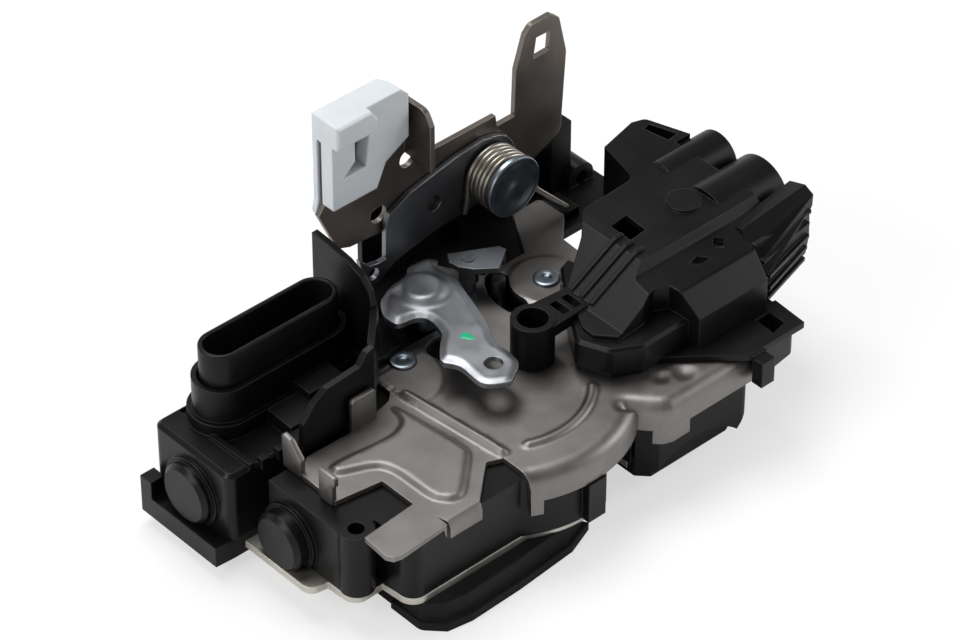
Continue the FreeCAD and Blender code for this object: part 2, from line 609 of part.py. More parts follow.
def make_actuator_base():
    z0 = PLATE_TOP + STACK_GAP
    shelf = slab([(46.5, -42.5), (64.0, -57.0), (83.0, -57.0), (84.0, -44), (94, -40), (94, 12),
                  (79, 11), (75.8, -1.4), (58, -2.4), (50, -12), (43.6, -13.6), (35.8, -24), (30.8, -31.0),
                  (34, -38.6), (41, -42.4)], z0, 32.0)
    drop = slab([(67.2, -42.4), (82.4, -42.4), (82.4, -55.0, 3), (67.2, -57.0)], 22.0, z0 + 0.5)
    leg = slab_y([(64.4, 31.0), (64.4, 23.4), (68.8, 23.4), (68.8, 31.0)], -61.0, -57.6)
    leg = leg.fuse(block(64.4, -58.0, z0, 68.8, -56.0, 31.6))
    right = slab([(67.2, -44), (94, -40), (94, 12), (79, 11), (76, -2), (67.2, -4)], 24.0, z0 + 0.5)
    body = join(shelf, drop, leg, right)
    body = body.cut(block(82.9, -46, 20, 110, -30.0, 40)).cut(rod(PAWL_X, 0, z0, 40, 9.9))
    return body.cut(slab([(74.6, -48.4), (79.4, -48.4), (79.2, -53.8), (74.2, -54.8)], 20.0, 33))


def cover_plan(low, high, inset=0.0):
    """Upper body of the cover in plan, or its inside when an inset is given."""
    i = inset
    return slab([(40.5 + i, -16.0 - i), (33.2 + i, -29.2), (33.0 + i, -33.0), (36.9 + i, -37.9 + i),
                 (46.1 + i, -37.2 + i), (51.3 + i, -35.3 + i), (55.0 + i, -37.0 + i), (56.4 + i, -46.6 + i),
                 (80.0 - i, -46.6 + i), (82.6 - i, -34 + i), (94.0 - i, -30 + i), (94.0 - i, 1.1 + i),
                 (99.3 - i, 1.1 + i), (95.2 - i, 13.5 - i, 2), (91.5, 14.7 - i), (79.2 + i, 11.8 - i),
                 (75.6 + i, -2.6 - i, 3), (57.4 + i, -3.4 - i, 3), (51.0 + i, -9.6 - i)], low, high)


def cover_height(inset=0.0):
    """Space under the cover's sloping top."""
    i = inset
    across = slab_y([(20, 20), (20, 40.2 - i), (38.5, 41.2 - i), (54.0, 49.8 - i), (57, 50.0 - i),
                     (120, 50.0 - i),
                     (120, 20)], -70, 40)
    along = slab_x([(-70, 20), (-70, 36 - i), (-47.0, 40.6 - i), (-40.4, 46.6 - i, 2), (-30.0, 47.4 - i, 2),
                    (-27.6, 50.2 - i, 2), (40, 50.2 - i), (40, 20)], 0, 120)
    return across.common(along)


def slope_ribs():
    """Three low ribs that climb the slope from the arm to the cover's top."""
    ribs = []
    for y in (-17.8, -21.6, -25.2):
        ribs.append(slab_y([(39.6, 40.0), (57.4, 49.0), (57.4, 50.8), (54.4, 50.8),
                            (39.6, 42.5)], y - 0.6, y + 0.6))
    return ribs


def make_actuator_cover():
    z0 = 32.0 + STACK_GAP
    body = cover_plan(z0, 60).common(cover_height())
    hollow = cover_plan(z0, 60, COVER_WALL).common(cover_height(COVER_WALL))
    skirt = slab([(50.4, -5.6), (46.6, -6.9), (42.3, -12.4), (34.3, -23.7), (29.3, -30.8, 3),
                  (33.0, -39.4, 3),
                  (40.3, -43.4, 3), (56.0, -43.2), (56.0, -30.0)], z0, LEDGE_Z)
    skirt = soften(skirt, 0.8, at_height(LEDGE_Z))
    arm = slab([(24.0, -14.6), (41.6, -16.2), (41.6, -24.6), (24.0, -25.4)], 38.6, ARM_TOP)
    ring = rod(RING_X, RING_Y, PLATE_TOP + STACK_GAP, ARM_TOP + 0.8, RING_R)
    emboss = rod(EMBOSS_X, EMBOSS_Y, 49.5, 50.7, 4.65)
    hump_a = rod_x(-4.0, 43.6, 84, 104.6, 7.0)
    hump_b = rod_x(-20.0, 42.0, 84, 104.6, 9.4)
    humps = join(hump_a, hump_b, block(84, -11, z0, 104.6, 3, 43.6), block(84, -29.4, z0, 104.6, -10.6, 42))
    humps = humps.common(block(84, -40, z0, 105, 20, 60))
    body = join(body, skirt, arm, ring, emboss, humps, *slope_ribs())
    body = body.cut(hollow).cut(block(82.9, -60.0, z0, 110.0, -30.3, 60.0))
    body = body.cut(block(84.0, -27.4, z0 - 1, 102.6, -12.6, 42.0)).cut(rod_x(-20.0, 42.0, 84, 102.6, 7.4))
    body = body.cut(rod(RING_X, RING_Y, PLATE_TOP, 43, RING_BORE))
    for x in (33.4, 37.4):
        body = body.cut(slab([(x - 1.2, -18.0), (x + 1.2, -18.2), (x + 1.2, -23.4),
                              (x - 1.2, -23.4)], 38, 43))
    window = slab([(57.8, -12.9), (63.8, -12.3), (63.3, -19.8), (57.7, -20.4)], 46, 52)
    square = slab([(76.0, -30.9), (78.0, -32.8), (75.4, -35.5), (73.4, -33.7)], 43, 52)
    odd = slab([(64.5, -34.2), (67.9, -33.4), (70.0, -36.1), (66.5, -36.1)], 43, 52)
    pocket = slab([(92.0, 10.6), (94.4, 11.2), (97.0, 3.4), (93.4, 3.0)], 38, 52)
    doorway = block(79.0, -36.0, 40.0, 86.6, -29.0, 46.6)
    return cut(body, window, square, odd, pocket, doorway)


SHELL_LEFT = [(-30.4, 47.2), (-33.8, 47.9), (-37.2, 43.0), (-40.6, 40.4), (-43.0, 37.4), (-42.8, 33.0),
              (-40.4, 26.6), (-30.4, 23.4)]
SHELL_RIGHT = [(-30.4, 50.6), (-35.7, 52.4), (-38.7, 51.0), (-38.6, 47.6), (-37.8, 44.6), (-38.1, 37.4),
               (-37.2, 31.2), (-30.4, 22.9)]
SHELL_RIBS = [(-42.3, 30.2, -37.1, 30.4), (-42.9, 34.0, -37.6, 34.4), (-42.7, 37.8, -38.1, 38.4),
              (-40.4, 40.9, -38.0, 42.4), (-37.0, 43.9, -38.3, 46.4)]


def shell_section(x, points, inset=0.0):
    """One end of the shell: an outline of (y, z) points in a plane across X."""
    centre_y = -34.0
    centre_z = 38.0
    corners = []
    for y, z in points:
        toward_y = inset if y < centre_y else 0.0
        toward_z = inset if z < centre_z else -inset
        corners.append(V(x, y + toward_y, z + toward_z))
    return corners


def shell_body(x0, x1, inset=0.0):
    return facets_between(shell_section(x0, SHELL_LEFT, inset), shell_section(x1, SHELL_RIGHT, inset))


def make_motor_shell():
    x0, x1 = 83.0, 103.6
    shell = shell_body(x0, x1).cut(shell_body(x0 - 0.5, x1 - 2.0, 2.0))
    ribs = []
    for left_y, left_z, right_y, right_z in SHELL_RIBS:
        ends = []
        for x, y, z in ((x0 + 1.0, left_y, left_z), (x1 - 1.0, right_y, right_z)):
            ends.append([V(x, y - 1.0, z - 0.5), V(x, y + 1.4, z - 0.5), V(x, y + 1.4, z + 0.5),
                         V(x, y - 1.0, z + 0.5)])
        ribs.append(facets_between(*ends))
    return join(shell, *ribs)


def make_rear_bracket():
    wall = slab_y([(14.0, 28.6), (14.0, 48.6), (19.0, 50.4), (60.0, 50.4), (66.0, 40.0), (80.0, 40.0),
                   (80.0, 24.6), (60.4, 24.6)], 31.2, 33.0)
    post = block(75.7, 27.6, 28.0, 82.5, 33.0, 48.0)
    knob = rod_y(84.6, 29.4, 25.8, 33.0, 4.4)
    hole = rod_y(84.6, 29.4, 25.8, 33.0, 2.0)
    shelf = block(60.4, 14.2, 24.6, 91.0, 33.0, 27.6)
    lug = block(70.3, 16.7, 27.6, 75.4, 24.8, 30.0)
    ribs = [block(x, 28.4, 28.6, x + 1.4, 31.4, 48.0) for x in (24.0, 44.0)]
    return join(wall, post, knob, shelf, lug, *ribs).cut(hole)


def make_lever_pin():
    tail = rod_y(PIN_X, PIN_Z, PIN_HEAD_Y + PIN_HEAD_T, 31.0, PIN_R)
    head = rod_y(PIN_X, PIN_Z, PIN_HEAD_Y, PIN_HEAD_Y + PIN_HEAD_T, PIN_HEAD_R)
    return join(tail, head)


def make_spring_bush():
    bush = rod_y(PIN_X, PIN_Z, PIN_HEAD_Y + PIN_HEAD_T, LEVER_A_Y - 3.6, 6.2)
    return bush.cut(rod_y(PIN_X, PIN_Z, 0, 40, PIN_R + PLATE_FIT))


def bent_wire(points, radius):
    """Wire of hexagonal section that follows straight pieces between the points."""
    along = (points[1] - points[0]).normalize()
    across = along.cross(V(0.31, 0.42, 0.85)).normalize()
    upward = along.cross(across)
    corners = []
    for i in range(6):
        a = math.radians(60.0 * i)
        corners.append(points[0] + across * (radius * math.cos(a)) + upward * (radius * math.sin(a)))
    section = Part.makePolygon(corners + corners[:1])
    spine = Part.makePolygon(points)
    return spine.makePipeShell([section], True, False, 1)


def coil_points(centre, radius, start, turns, pitch, axis_y=False):
    """Points along a coil, with straight pieces of 30 degrees."""
    points = []
    steps = int(round(turns * 12))
    for i in range(steps + 1):
        a = math.radians(start + 30.0 * i)
        rise = pitch * i / 12.0
        if axis_y:
            points.append(centre + V(radius * math.cos(a), rise, radius * math.sin(a)))
        else:
            points.append(centre + V(radius * math.cos(a), radius * math.sin(a), rise))
    return points


def make_torsion_spring():
    first_y = PIN_HEAD_Y + PIN_HEAD_T + WIRE_R + SOFT_GAP
    turns = coil_points(V(PIN_X, first_y, PIN_Z), COIL_R, 0.0, COIL_TURNS, COIL_PITCH, axis_y=True)
    leg = [V(71.8, 17.6, 30.6 + WIRE_R), V(PIN_X + COIL_R + 1.2, first_y, PIN_Z - 6.0)]
    last_y = first_y + COIL_TURNS * COIL_PITCH
    hook = [V(PIN_X - COIL_R - 1.0, last_y, PIN_Z - 9.0)]
    return bent_wire(leg + turns + hook, WIRE_R)


def make_handle_lever():
    y0, y1 = LEVER_A_Y, LEVER_A_Y + LEVER_A_T
    plate = slab_y([(-4.9, 63.8), (0.9, 50.8), (4.8, 49.3), (14, 48.6), (44, 46.0), (56, 42.6), (66.0, 44.6),
                    (76.2, 49.6, 3), (77.8, 74.0, 4), (75.2, 85.6, 2.2), (72.4, 87.7), (65.6, 87.5, 2),
                    (63.6, 85.4),
                    (60.6, 76.0), (60.1, 62.0), (54.2, 61.9), (53.6, 65.4), (24.7, 65.4), (24.7, 86.0),
                    (-2.9, 86.0), (-2.9, 66.5)], y0, y1)
    tab = slab_x([(y1 - 0.05, 68.4), (y1 - 0.05, 86.0), (17.6, 86.0, 3), (15.4, 82.0),
                  (15.4, 68.4)], 23.2, 24.7)
    plate = join(plate, tab)
    square = slab_y([(67.4, 82.9), (72.3, 82.8), (71.8, 77.0), (66.4, 76.8)], y0, y1)
    return cut(plate, square, rod_y(PIN_X, PIN_Z, y0, y1, PIN_R + RUN_GAP), rod_y(14.3, 54.7, y0, y1, 2.6),
               rod_y(24.0, 67.0, y0 - 2, y1, 2.5)).removeSplitter()


def make_rod_clip():
    """Moulded clip that takes the handle's rod. The lever's arm stands in its slot."""
    front, back = 20.8, 28.2
    body = slab_y([(-3.6, 67.2), (10.4, 67.2), (13.4, 73.8), (21.0, 78.0), (21.0, 90.8), (18.6, 93.2),
                   (-3.6, 93.2)],
                  front, back)
    body = body.common(slab([(-3.6, back), (17.0, back), (21.0, front), (-3.6, front)], 60, 100))
    lip = slab_y([(-3.6, 86.4), (8.8, 86.4), (9.6, 87.4), (9.6, 90.0), (7.4, 93.2),
                  (-3.6, 93.2)], 18.5, front)
    lip = soften(lip, 0.6, lambda e: abs(e.BoundBox.YMax - 18.5) < 0.01)
    foot = slab_y([(-4.4, 64.0), (-2.6, 60.7), (1.8, 60.7), (2.6, 67.4), (-3.0, 70.4)],
                  LEVER_A_Y + LEVER_A_T + PLATE_FIT, back)
    slot = block(-10, LEVER_A_Y - PLATE_FIT, 60, 30, LEVER_A_Y + LEVER_A_T + PLATE_FIT, 86.0 + PLATE_FIT)
    window = slab_y([(-0.2, 75.5), (7.2, 75.5), (8.2, 85.4), (3.6, 86.2), (3.6, 79.0)], front - 1, LEVER_A_Y)
    rod_way = rod_y(ROD_EYE_X, ROD_EYE_Z, back - ROD_EYE_DEPTH, back, ROD_EYE_R)
    return cut(join(body, lip, foot), slot, window, rod_way)


def make_transfer_lever():
    y1 = LEVER_A_Y - LEVER_GAP
    y0 = y1 - LEVER_B_T
    ring = rod_y(PIN_X, PIN_Z, y0, y1, 9.6)
    arm = slab_y([(56, 59.0), (48.1, 61.6), (39.3, 60.8), (23.2, 57.5), (16.6, 54.3), (15.2, 51.6),
                  (15.0, 41.0), (12.8, 41.0), (9.7, 41.6), (6.5, 44.8), (7.6, 36.6), (12.0, 34.6, 2),
                  (18.0, 38.6), (23.3, 39.9), (32.5, 41.5), (42.7, 41.9), (56, 46)], y0, y1)
    plate = join(arm, ring)
    return cut(plate, rod_y(PIN_X, PIN_Z, y0, y1, PIN_R + RUN_GAP), rod_y(31.2, 50.2, y0, y1, 2.3),
               rod_y(11.0, 38.4, y0, y1, 1.7)).removeSplitter()


def make_release_pivot():
    seat = rod(RELEASE_X, RELEASE_Y, PLATE_TOP + STACK_GAP, 37.9, 4.6)
    stud = rod(RELEASE_X, RELEASE_Y, 37.9, RELEASE_STUD_TOP, 2.6)
    return join(seat, stud)


def make_release_lever():
    """Flat lever with a pressed cup that sits on its stud."""
    z0, z1 = 38.0, 39.8
    cup_top = RELEASE_STUD_TOP + 1.7
    flat = slab([(1.2, 8.3), (4.3, 13.4), (10.1, 16.2), (16.4, 16.9), (18.3, 19.2), (24.4, 18.6),
                 (26.2, 16.4), (23.6, 13.6), (24.6, 10.3), (24.0, 6.0), (21.3, -2.7), (17.7, -12.5),
                 (14.8, -17.6), (15.0, -21.7), (14.6, -26.0), (13.2, -27.8), (10.8, -29.2), (7.8, -31.0),
                 (3.1, -28.2), (1.9, -25.6), (2.8, -18.0), (-0.1, -13.8), (4.5, -8.8), (7.7, -6.3),
                 (8.9, -1.6), (8.6, 1.4), (6.4, 3.1), (1.4, 3.8)], z0, z1)
    cup = soften(rod(RELEASE_X, RELEASE_Y, z1 - 0.1, cup_top, 7.4), 1.2, at_height(cup_top))
    lever = join(flat, cup)
    return cut(lever, rod(RELEASE_X, RELEASE_Y, z0, RELEASE_STUD_TOP + 0.1, 2.6 + RUN_GAP),
               rod(9.1, -23.2, z0, z1, 2.45)).removeSplitter()


def make_link_pivot():
    x, y = LINK_PIVOT
    return join(rod(x, y, PLATE_TOP + STACK_GAP, 37.9, 2.2), rod(x, y, 37.9, 39.9, 1.6))


def make_link_lever():
    z0, z1 = 38.0, 39.6
    x, y = LINK_PIVOT
    flat = slab([(27.2, 13.2), (29.0, 15.9), (40.7, 9.5), (41.2, 7.4), (34.8, 2.9), (30.0, 6.7),
                 (27.6, 10.2)],
                z0, z1)
    tab = slab([(27.6, 10.2), (29.2, 10.4), (31.6, 7.0), (30.0, 6.7)], z0 - 3.2, z1)
    curl = slab([(40.2, 9.8), (40.7, 9.5), (41.2, 7.4), (40.0, 6.6)], z0 - 2.0, z1)
    return join(flat, tab, curl).cut(rod(x, y, z0, z1, 1.6 + RUN_GAP))


def claw_outline():
    """The claw as it stands when it holds the striker: jaw open along +X."""
    half = 5.8
    return [(12.6, -16.0), (24.0, -12.4), (33.5, -11.6), (34.6, -half), (SLOT_X, -half, half * 0.96),
            (18.6, 0), (SLOT_X, half, half * 0.96), (30.4, half), (28.4, 10.6), (21.0, 13.0),
            tooth_point(TOOTH_ROOT - 3.0, 0), tooth_point(TOOTH_R, 0), tooth_point(TOOTH_R - 0.4, 20),
            (-3.0, 14.0), (-12.4, 6.0), (-11.0, -9.6)]


def tooth_point(radius, beyond):
    angle = math.radians(TOOTH_ANGLE + beyond)
    return (radius * math.cos(angle), radius * math.sin(angle))


def make_claw():
    corners = claw_outline()
    core = slab(corners, CLAW_Z + CLAW_SKIN, CLAW_Z + CLAW_T - CLAW_SKIN)
    core = core.cut(rod(0, 0, CLAW_Z, CLAW_Z + CLAW_T, PIVOT_R + RUN_GAP))
    for x, y in CLAW_POSTS:
        core = core.cut(hexagon(x, y, CLAW_Z, CLAW_Z + CLAW_T, 1.6))
    return turned(core, -CLAW_SWING)


CLAW_POSTS = [(28.5, -8.8), (22.0, 9.6), (6.0, 19.0)]


def make_claw_cover():
    """Moulded skin over both faces of the claw, tied through it by short posts."""
    corners = claw_outline()
    skins = []
    for low in (CLAW_Z, CLAW_Z + CLAW_T - CLAW_SKIN):
        skin = slab(corners, low, low + CLAW_SKIN)
        skins.append(skin.cut(hexagon(0, 0, low, low + CLAW_SKIN, 7.0)))
    for x, y in CLAW_POSTS:
        skins.append(hexagon(x, y, CLAW_Z, CLAW_Z + CLAW_T, 1.6))
    return turned(join(*skins), -CLAW_SWING)


def make_pawl():
    arm = slab([(56.0, -6.0, 5), (56.6, 6.0, 5), (45.0, 17.6), (31.0, 24.2), (15.6, 25.2),
                nose_point(TOOTH_R + 0.2), nose_point(TOOTH_ROOT), (20.0, 19.6), (29.6, 16.2),
                (40.2, 5.0), (41.0, -6.0, 5)], CLAW_Z, CLAW_Z + CLAW_T)
    angle = math.radians(PAWL_PIN_ANGLE)
    x = PAWL_X + KIDNEY_R * math.cos(angle)
    y = KIDNEY_R * math.sin(angle)
    ear = slab([(41.5, -4.0), (x - 2.8, y - 3.4), (x - 2.8, y + 3.4), (42.5, 7.0)], CLAW_Z + CLAW_T - 2.0,
               CLAW_Z + CLAW_T)
    pin = rod(x, y, CLAW_Z + CLAW_T - 2.0, 33.4, PAWL_PIN_R)
    pawl = join(arm, ear, pin).cut(rod(PAWL_X, 0, CLAW_Z, CLAW_Z + CLAW_T, PIVOT_R + RUN_GAP))
    return turned(pawl, -PAWL_DROP, PAWL_X, 0)


def nose_point(radius):
    """Point of the pawl's nose, a small gap in front of the claw's tooth."""
    angle = math.radians(TOOTH_ANGLE)
    return (radius * math.cos(angle) + NOSE_GAP * math.sin(angle),
            radius * math.sin(angle) - NOSE_GAP * math.cos(angle))


def flat_spring(x, y, wire, radius, leg_length):
    """Two turns of wire round a pivot, above the claw or the pawl, with a leg that points outward."""
    low = CLAW_Z + CLAW_T + 0.4 + wire
    turns = coil_points(V(x, y, low), radius, 90.0, 2.0, 2.2 * wire)
    leg = [V(x + 1.2, y + radius + leg_length, low)]
    return bent_wire(leg + turns, wire)


def make_claw_spring():
    return flat_spring(0, 0, 0.5, 6.4, 6.0)


def make_pawl_spring():
    return flat_spring(PAWL_X, 0, 0.45, 5.4, 3.0)


def make_motor_can():
    y, z = MOTOR_Y, MOTOR_Z
    return rod_x(y, z, 86.4, 102.4, 6.9).cut(rod_x(y, z, 86.0, 90.0, SHAFT_R + RUN_GAP))


def make_worm_shaft():
    """Motor shaft with the worm, drawn as a core with raised rings."""
    y, z = MOTOR_Y, MOTOR_Z
    start = WHEEL_AXLE[0] - 6.0
    lengths = [1.0, 1.4]
    shape = rod_x(y, z, 62.0, 89.8, SHAFT_R)
    at = start
    for i in range(9):
        radius = 1.7 if i % 2 == 0 else WORM_R
        ring = [(y + radius * math.cos(math.radians(45.0 * k)),
                 z + radius * math.sin(math.radians(45.0 * k)))
                for k in range(8)]
        shape = shape.fuse(slab_x(ring, at, at + lengths[i % 2]))
        at += lengths[i % 2]
    return shape


def make_worm_wheel():
    x, y = WHEEL_AXLE
    low, high = MOTOR_Z - 2.2, MOTOR_Z + 1.6
    rim = []
    for i in range(2 * WHEEL_TEETH):
        a = math.pi * i / WHEEL_TEETH
        reach = WHEEL_R if i % 2 == 0 else WHEEL_R - 1.0
        rim.append((x + reach * math.cos(a), y + reach * math.sin(a)))
    wheel = slab(rim, low, high)
    hub = hexagon(x, y, 32.0 + STACK_GAP, high + 0.6, 3.4)
    return cut(join(wheel, hub), rod(x, y, 30, 50, AXLE_R + RUN_GAP))


def make_wheel_axle():
    x, y = WHEEL_AXLE
    return rod(x, y, 32.0, MOTOR_Z + 2.8, AXLE_R)


def finish(name, shape, folder="parts"):
    """Move one piece to the origin and write it."""
    moved = shape.copy()
    origin_x, origin_y = SCREWS[0]
    moved.translate(V(-origin_x, -origin_y, -FACE_Z))
    moved.exportStep(os.path.join(folder, name + ".step"))


def main():
    os.makedirs("parts", exist_ok=True)
    pieces = {
        "face_plate": make_face_plate(),
        "seal_frame": make_seal(),
        "latch_housing": make_latch_housing(),
        "back_plate": make_back_plate(),
        "claw_pivot": make_pivot(0.0),
        "pawl_pivot": make_pivot(PAWL_X),
        "connector_housing": make_connector_housing(),
        "connector_shroud": make_connector_shroud(),
        "terminal_pins": make_terminal_pins(),
        "circuit_board": make_circuit_board(),
        "connector_cover": make_connector_cover(),
        "lower_base": make_lower_base(),
        "actuator_base": make_actuator_base(),
        "actuator_cover": make_actuator_cover(),
        "motor_shell": make_motor_shell(),
        "rear_bracket": make_rear_bracket(),
        "lever_pin": make_lever_pin(),
        "spring_bush": make_spring_bush(),
        "torsion_spring": make_torsion_spring(),
        "handle_lever": make_handle_lever(),
        "rod_clip": make_rod_clip(),
        "transfer_lever": make_transfer_lever(),
        "release_lever": make_release_lever(),
        "release_pivot": make_release_pivot(),
        "link_lever": make_link_lever(),
        "link_pivot": make_link_pivot(),
        "claw": make_claw(),
        "claw_cover": make_claw_cover(),
        "pawl": make_pawl(),
        "claw_spring": make_claw_spring(),
        "pawl_spring": make_pawl_spring(),
        "motor_can": make_motor_can(),
        "worm_shaft": make_worm_shaft(),
        "worm_wheel": make_worm_wheel(),
        "wheel_axle": make_wheel_axle(),
    }
    for name, shape in pieces.items():
        finish(name, shape)


main()
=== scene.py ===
import json
import math

import bmesh
import bpy
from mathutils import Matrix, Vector
from mathutils.geometry import delaunay_2d_cdt


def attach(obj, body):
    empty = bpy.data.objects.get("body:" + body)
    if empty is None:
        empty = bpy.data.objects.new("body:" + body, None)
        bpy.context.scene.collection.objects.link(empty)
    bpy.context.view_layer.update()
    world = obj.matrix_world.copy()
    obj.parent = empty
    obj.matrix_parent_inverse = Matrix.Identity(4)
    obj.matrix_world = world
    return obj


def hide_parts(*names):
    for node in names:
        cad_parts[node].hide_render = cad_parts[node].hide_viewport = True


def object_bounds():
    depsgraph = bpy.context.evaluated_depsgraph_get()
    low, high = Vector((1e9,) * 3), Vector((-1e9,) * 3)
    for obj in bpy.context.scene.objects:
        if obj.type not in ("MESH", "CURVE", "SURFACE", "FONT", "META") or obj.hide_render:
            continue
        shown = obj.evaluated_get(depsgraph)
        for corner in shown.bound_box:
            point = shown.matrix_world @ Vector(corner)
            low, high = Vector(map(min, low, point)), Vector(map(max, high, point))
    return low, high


# The door latch actuator dressed for its picture: moulded black plastic, stamped zinc-plated steel,
# bright rivets, a milky acetal clip and a black rubber seal on a white table.

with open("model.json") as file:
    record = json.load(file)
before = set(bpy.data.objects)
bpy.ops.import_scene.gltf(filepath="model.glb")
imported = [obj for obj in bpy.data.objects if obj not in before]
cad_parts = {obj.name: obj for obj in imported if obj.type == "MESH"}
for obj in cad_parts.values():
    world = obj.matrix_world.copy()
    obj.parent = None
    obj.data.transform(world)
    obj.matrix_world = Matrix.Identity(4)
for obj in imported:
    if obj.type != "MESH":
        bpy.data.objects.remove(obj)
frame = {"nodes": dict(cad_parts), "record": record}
cad_box = [list(corner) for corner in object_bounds()]

MM = 0.001
# The latch was laid out from the claw's pivot and the seal's underside. The model's origin is the left
# screw hole, so a layout point moves by this much.
LAYOUT = Vector((30.0, 20.0, -8.0))

# How strongly black plastic mirrors the white room. A grained skin shadows itself and shows about half
# of what smooth plastic does.
PLASTIC_SHINE = 0.2
# The share of plain white in what the camera sees of the table. The rest is its lit surface, which
# keeps the shadow.
TABLE_LIFT = 0.6
# How bright the room is for soft light, and how bright its ceiling is for mirrored light. Its walls
# are at 1.
ROOM_FILL = 0.35
CEILING = 0.2

# The claw's pivot is the layout's origin, and the pawl's pivot lies along +X from it.
PAWL_X = 48.3
# The pin of the handle levers lies along +Y at this place. Its head's face looks toward -Y.
PIN_X = 49.4
PIN_Z = 51.6
PIN_R = 4.0
PIN_HEAD_R = 8.6
PIN_FACE_Y = 13.0
PIN_HEAD_T = 1.6
PIN_END_Y = 31.0
# The stud under the bright lever's cup, and the eye in its arm.
RELEASE_X = 14.5
RELEASE_Y = 9.0
EYE_X = 9.1
EYE_Y = -23.2
EYE_R = 2.45
# All flat steel parts are cut from sheet of this thickness.
SHEET_T = 1.5
# The back plate's top, the middle and size of its round part, how wide its edges are bent, and the
# heights that the bent edges reach down to.
PLATE_TOP = 30.0
DOME_X = 11.5
DOME_Y = -22.0
DOME_R = 35.2
BEND = 4.2
LIP_BEND = 1.8
SKIRT_FOOT = 22.0
LIP_FOOT = 25.2


def at(x, y, z):
    """A point given in layout millimetres, in the model's metres."""
    return (Vector((x, y, z)) + LAYOUT) * MM


def linear(code):
    """An sRGB hex code as a linear colour with alpha."""
    channels = [int(code[i:i + 2], 16) / 255.0 for i in (1, 3, 5)]
    return [c / 12.92 if c <= 0.04045 else ((c + 0.055) / 1.055) ** 2.4 for c in channels] + [1.0]


def per_mm(size):
    """The noise scale whose features are about this many millimetres across."""
    return 1.0 / (size * MM)


def add(material, kind, settings=None, links=None):
    """Adds one node, sets its values and links its inputs to other nodes' outputs."""
    node = material.node_tree.nodes.new(kind)
    for key, value in (settings or {}).items():
        if isinstance(key, str) and hasattr(node, key):
            setattr(node, key, value)
        else:
            node.inputs[key].default_value = value
    for key, source in (links or {}).items():
        material.node_tree.links.new(source, node.inputs[key])
    return node


def start(name):
    """A new material, its Principled shader and the part's own coordinates in metres."""
    material = bpy.data.materials.new(name)
    material.use_nodes = True
    place = add(material, "ShaderNodeTexCoord").outputs["Object"]
    return material, material.node_tree.nodes["Principled BSDF"], place


def wire(material, shader, sources):
    """Links the shader's inputs, given by name, to other nodes' outputs."""
    for key, source in sources.items():
        material.node_tree.links.new(source, shader.inputs[key])


def eased_edges(material, radius_mm):
    """Normals that run round each edge as a moulded or tumbled edge does, and a mask that is 1 on them."""
    soft = add(material, "ShaderNodeBevel", {"samples": 6, "Radius": radius_mm * MM}).outputs["Normal"]
    true = add(material, "ShaderNodeNewGeometry").outputs["Normal"]
    facing = add(material, "ShaderNodeVectorMath", {"operation": "DOT_PRODUCT"},
                 {0: soft, 1: true}).outputs["Value"]
    mask = add(material, "ShaderNodeMapRange", {1: 0.995, 2: 0.86, 3: 0.0, 4: 1.0},
               {0: facing}).outputs[0]
    return soft, mask


def moulded_plastic(name, dark, light, edge_highlight, rough_low, rough_high,
                    grain_mm=0.4, grain=0.12, edge_mm=0.45):
    """Glass-filled nylon from a spark-eroded mould. The grain breaks the highlight into a soft sheen, slow
    changes of roughness show where the plastic flowed, and the rounded edges are painted a little paler
    over the grain, a painted highlight where they would catch the light. The real grain is near 0.1 mm,
    so it is drawn four times as coarse to show at all."""
    material, shader, place = start(name)
    soft, edge = eased_edges(material, edge_mm)
    flow = add(material, "ShaderNodeTexNoise", {"Scale": per_mm(14.0), "Detail": 3.0},
               {"Vector": place}).outputs["Fac"]
    fine = add(material, "ShaderNodeTexNoise", {"Scale": per_mm(grain_mm), "Detail": 2.0},
               {"Vector": place}).outputs["Fac"]
    body = add(material, "ShaderNodeMix", {"data_type": "RGBA", 6: linear(dark), 7: linear(light)},
               {0: flow}).outputs[2]
    # Painted highlight: the eased edges, broken up by the grain, are mixed toward a paler colour.
    painted_edge_highlight = add(material, "ShaderNodeMath", {"operation": "MULTIPLY"}, {0: edge, 1: fine}).outputs[0]
    colour = add(material, "ShaderNodeMix", {"data_type": "RGBA", 7: linear(edge_highlight)},
                 {0: painted_edge_highlight, 6: body}).outputs[2]
    rough = add(material, "ShaderNodeMapRange", {1: 0.3, 2: 0.7, 3: rough_low, 4: rough_high},
                {0: flow}).outputs[0]
    skin = add(material, "ShaderNodeBump", {"Strength": grain, "Distance": 0.03 * MM},
               {"Height": fine, "Normal": soft}).outputs["Normal"]
    wire(material, shader, {"Base Color": colour, "Roughness": rough, "Normal": skin})
    shader.inputs["IOR"].default_value = 1.5
    shader.inputs["Specular IOR Level"].default_value = PLASTIC_SHINE
    return material


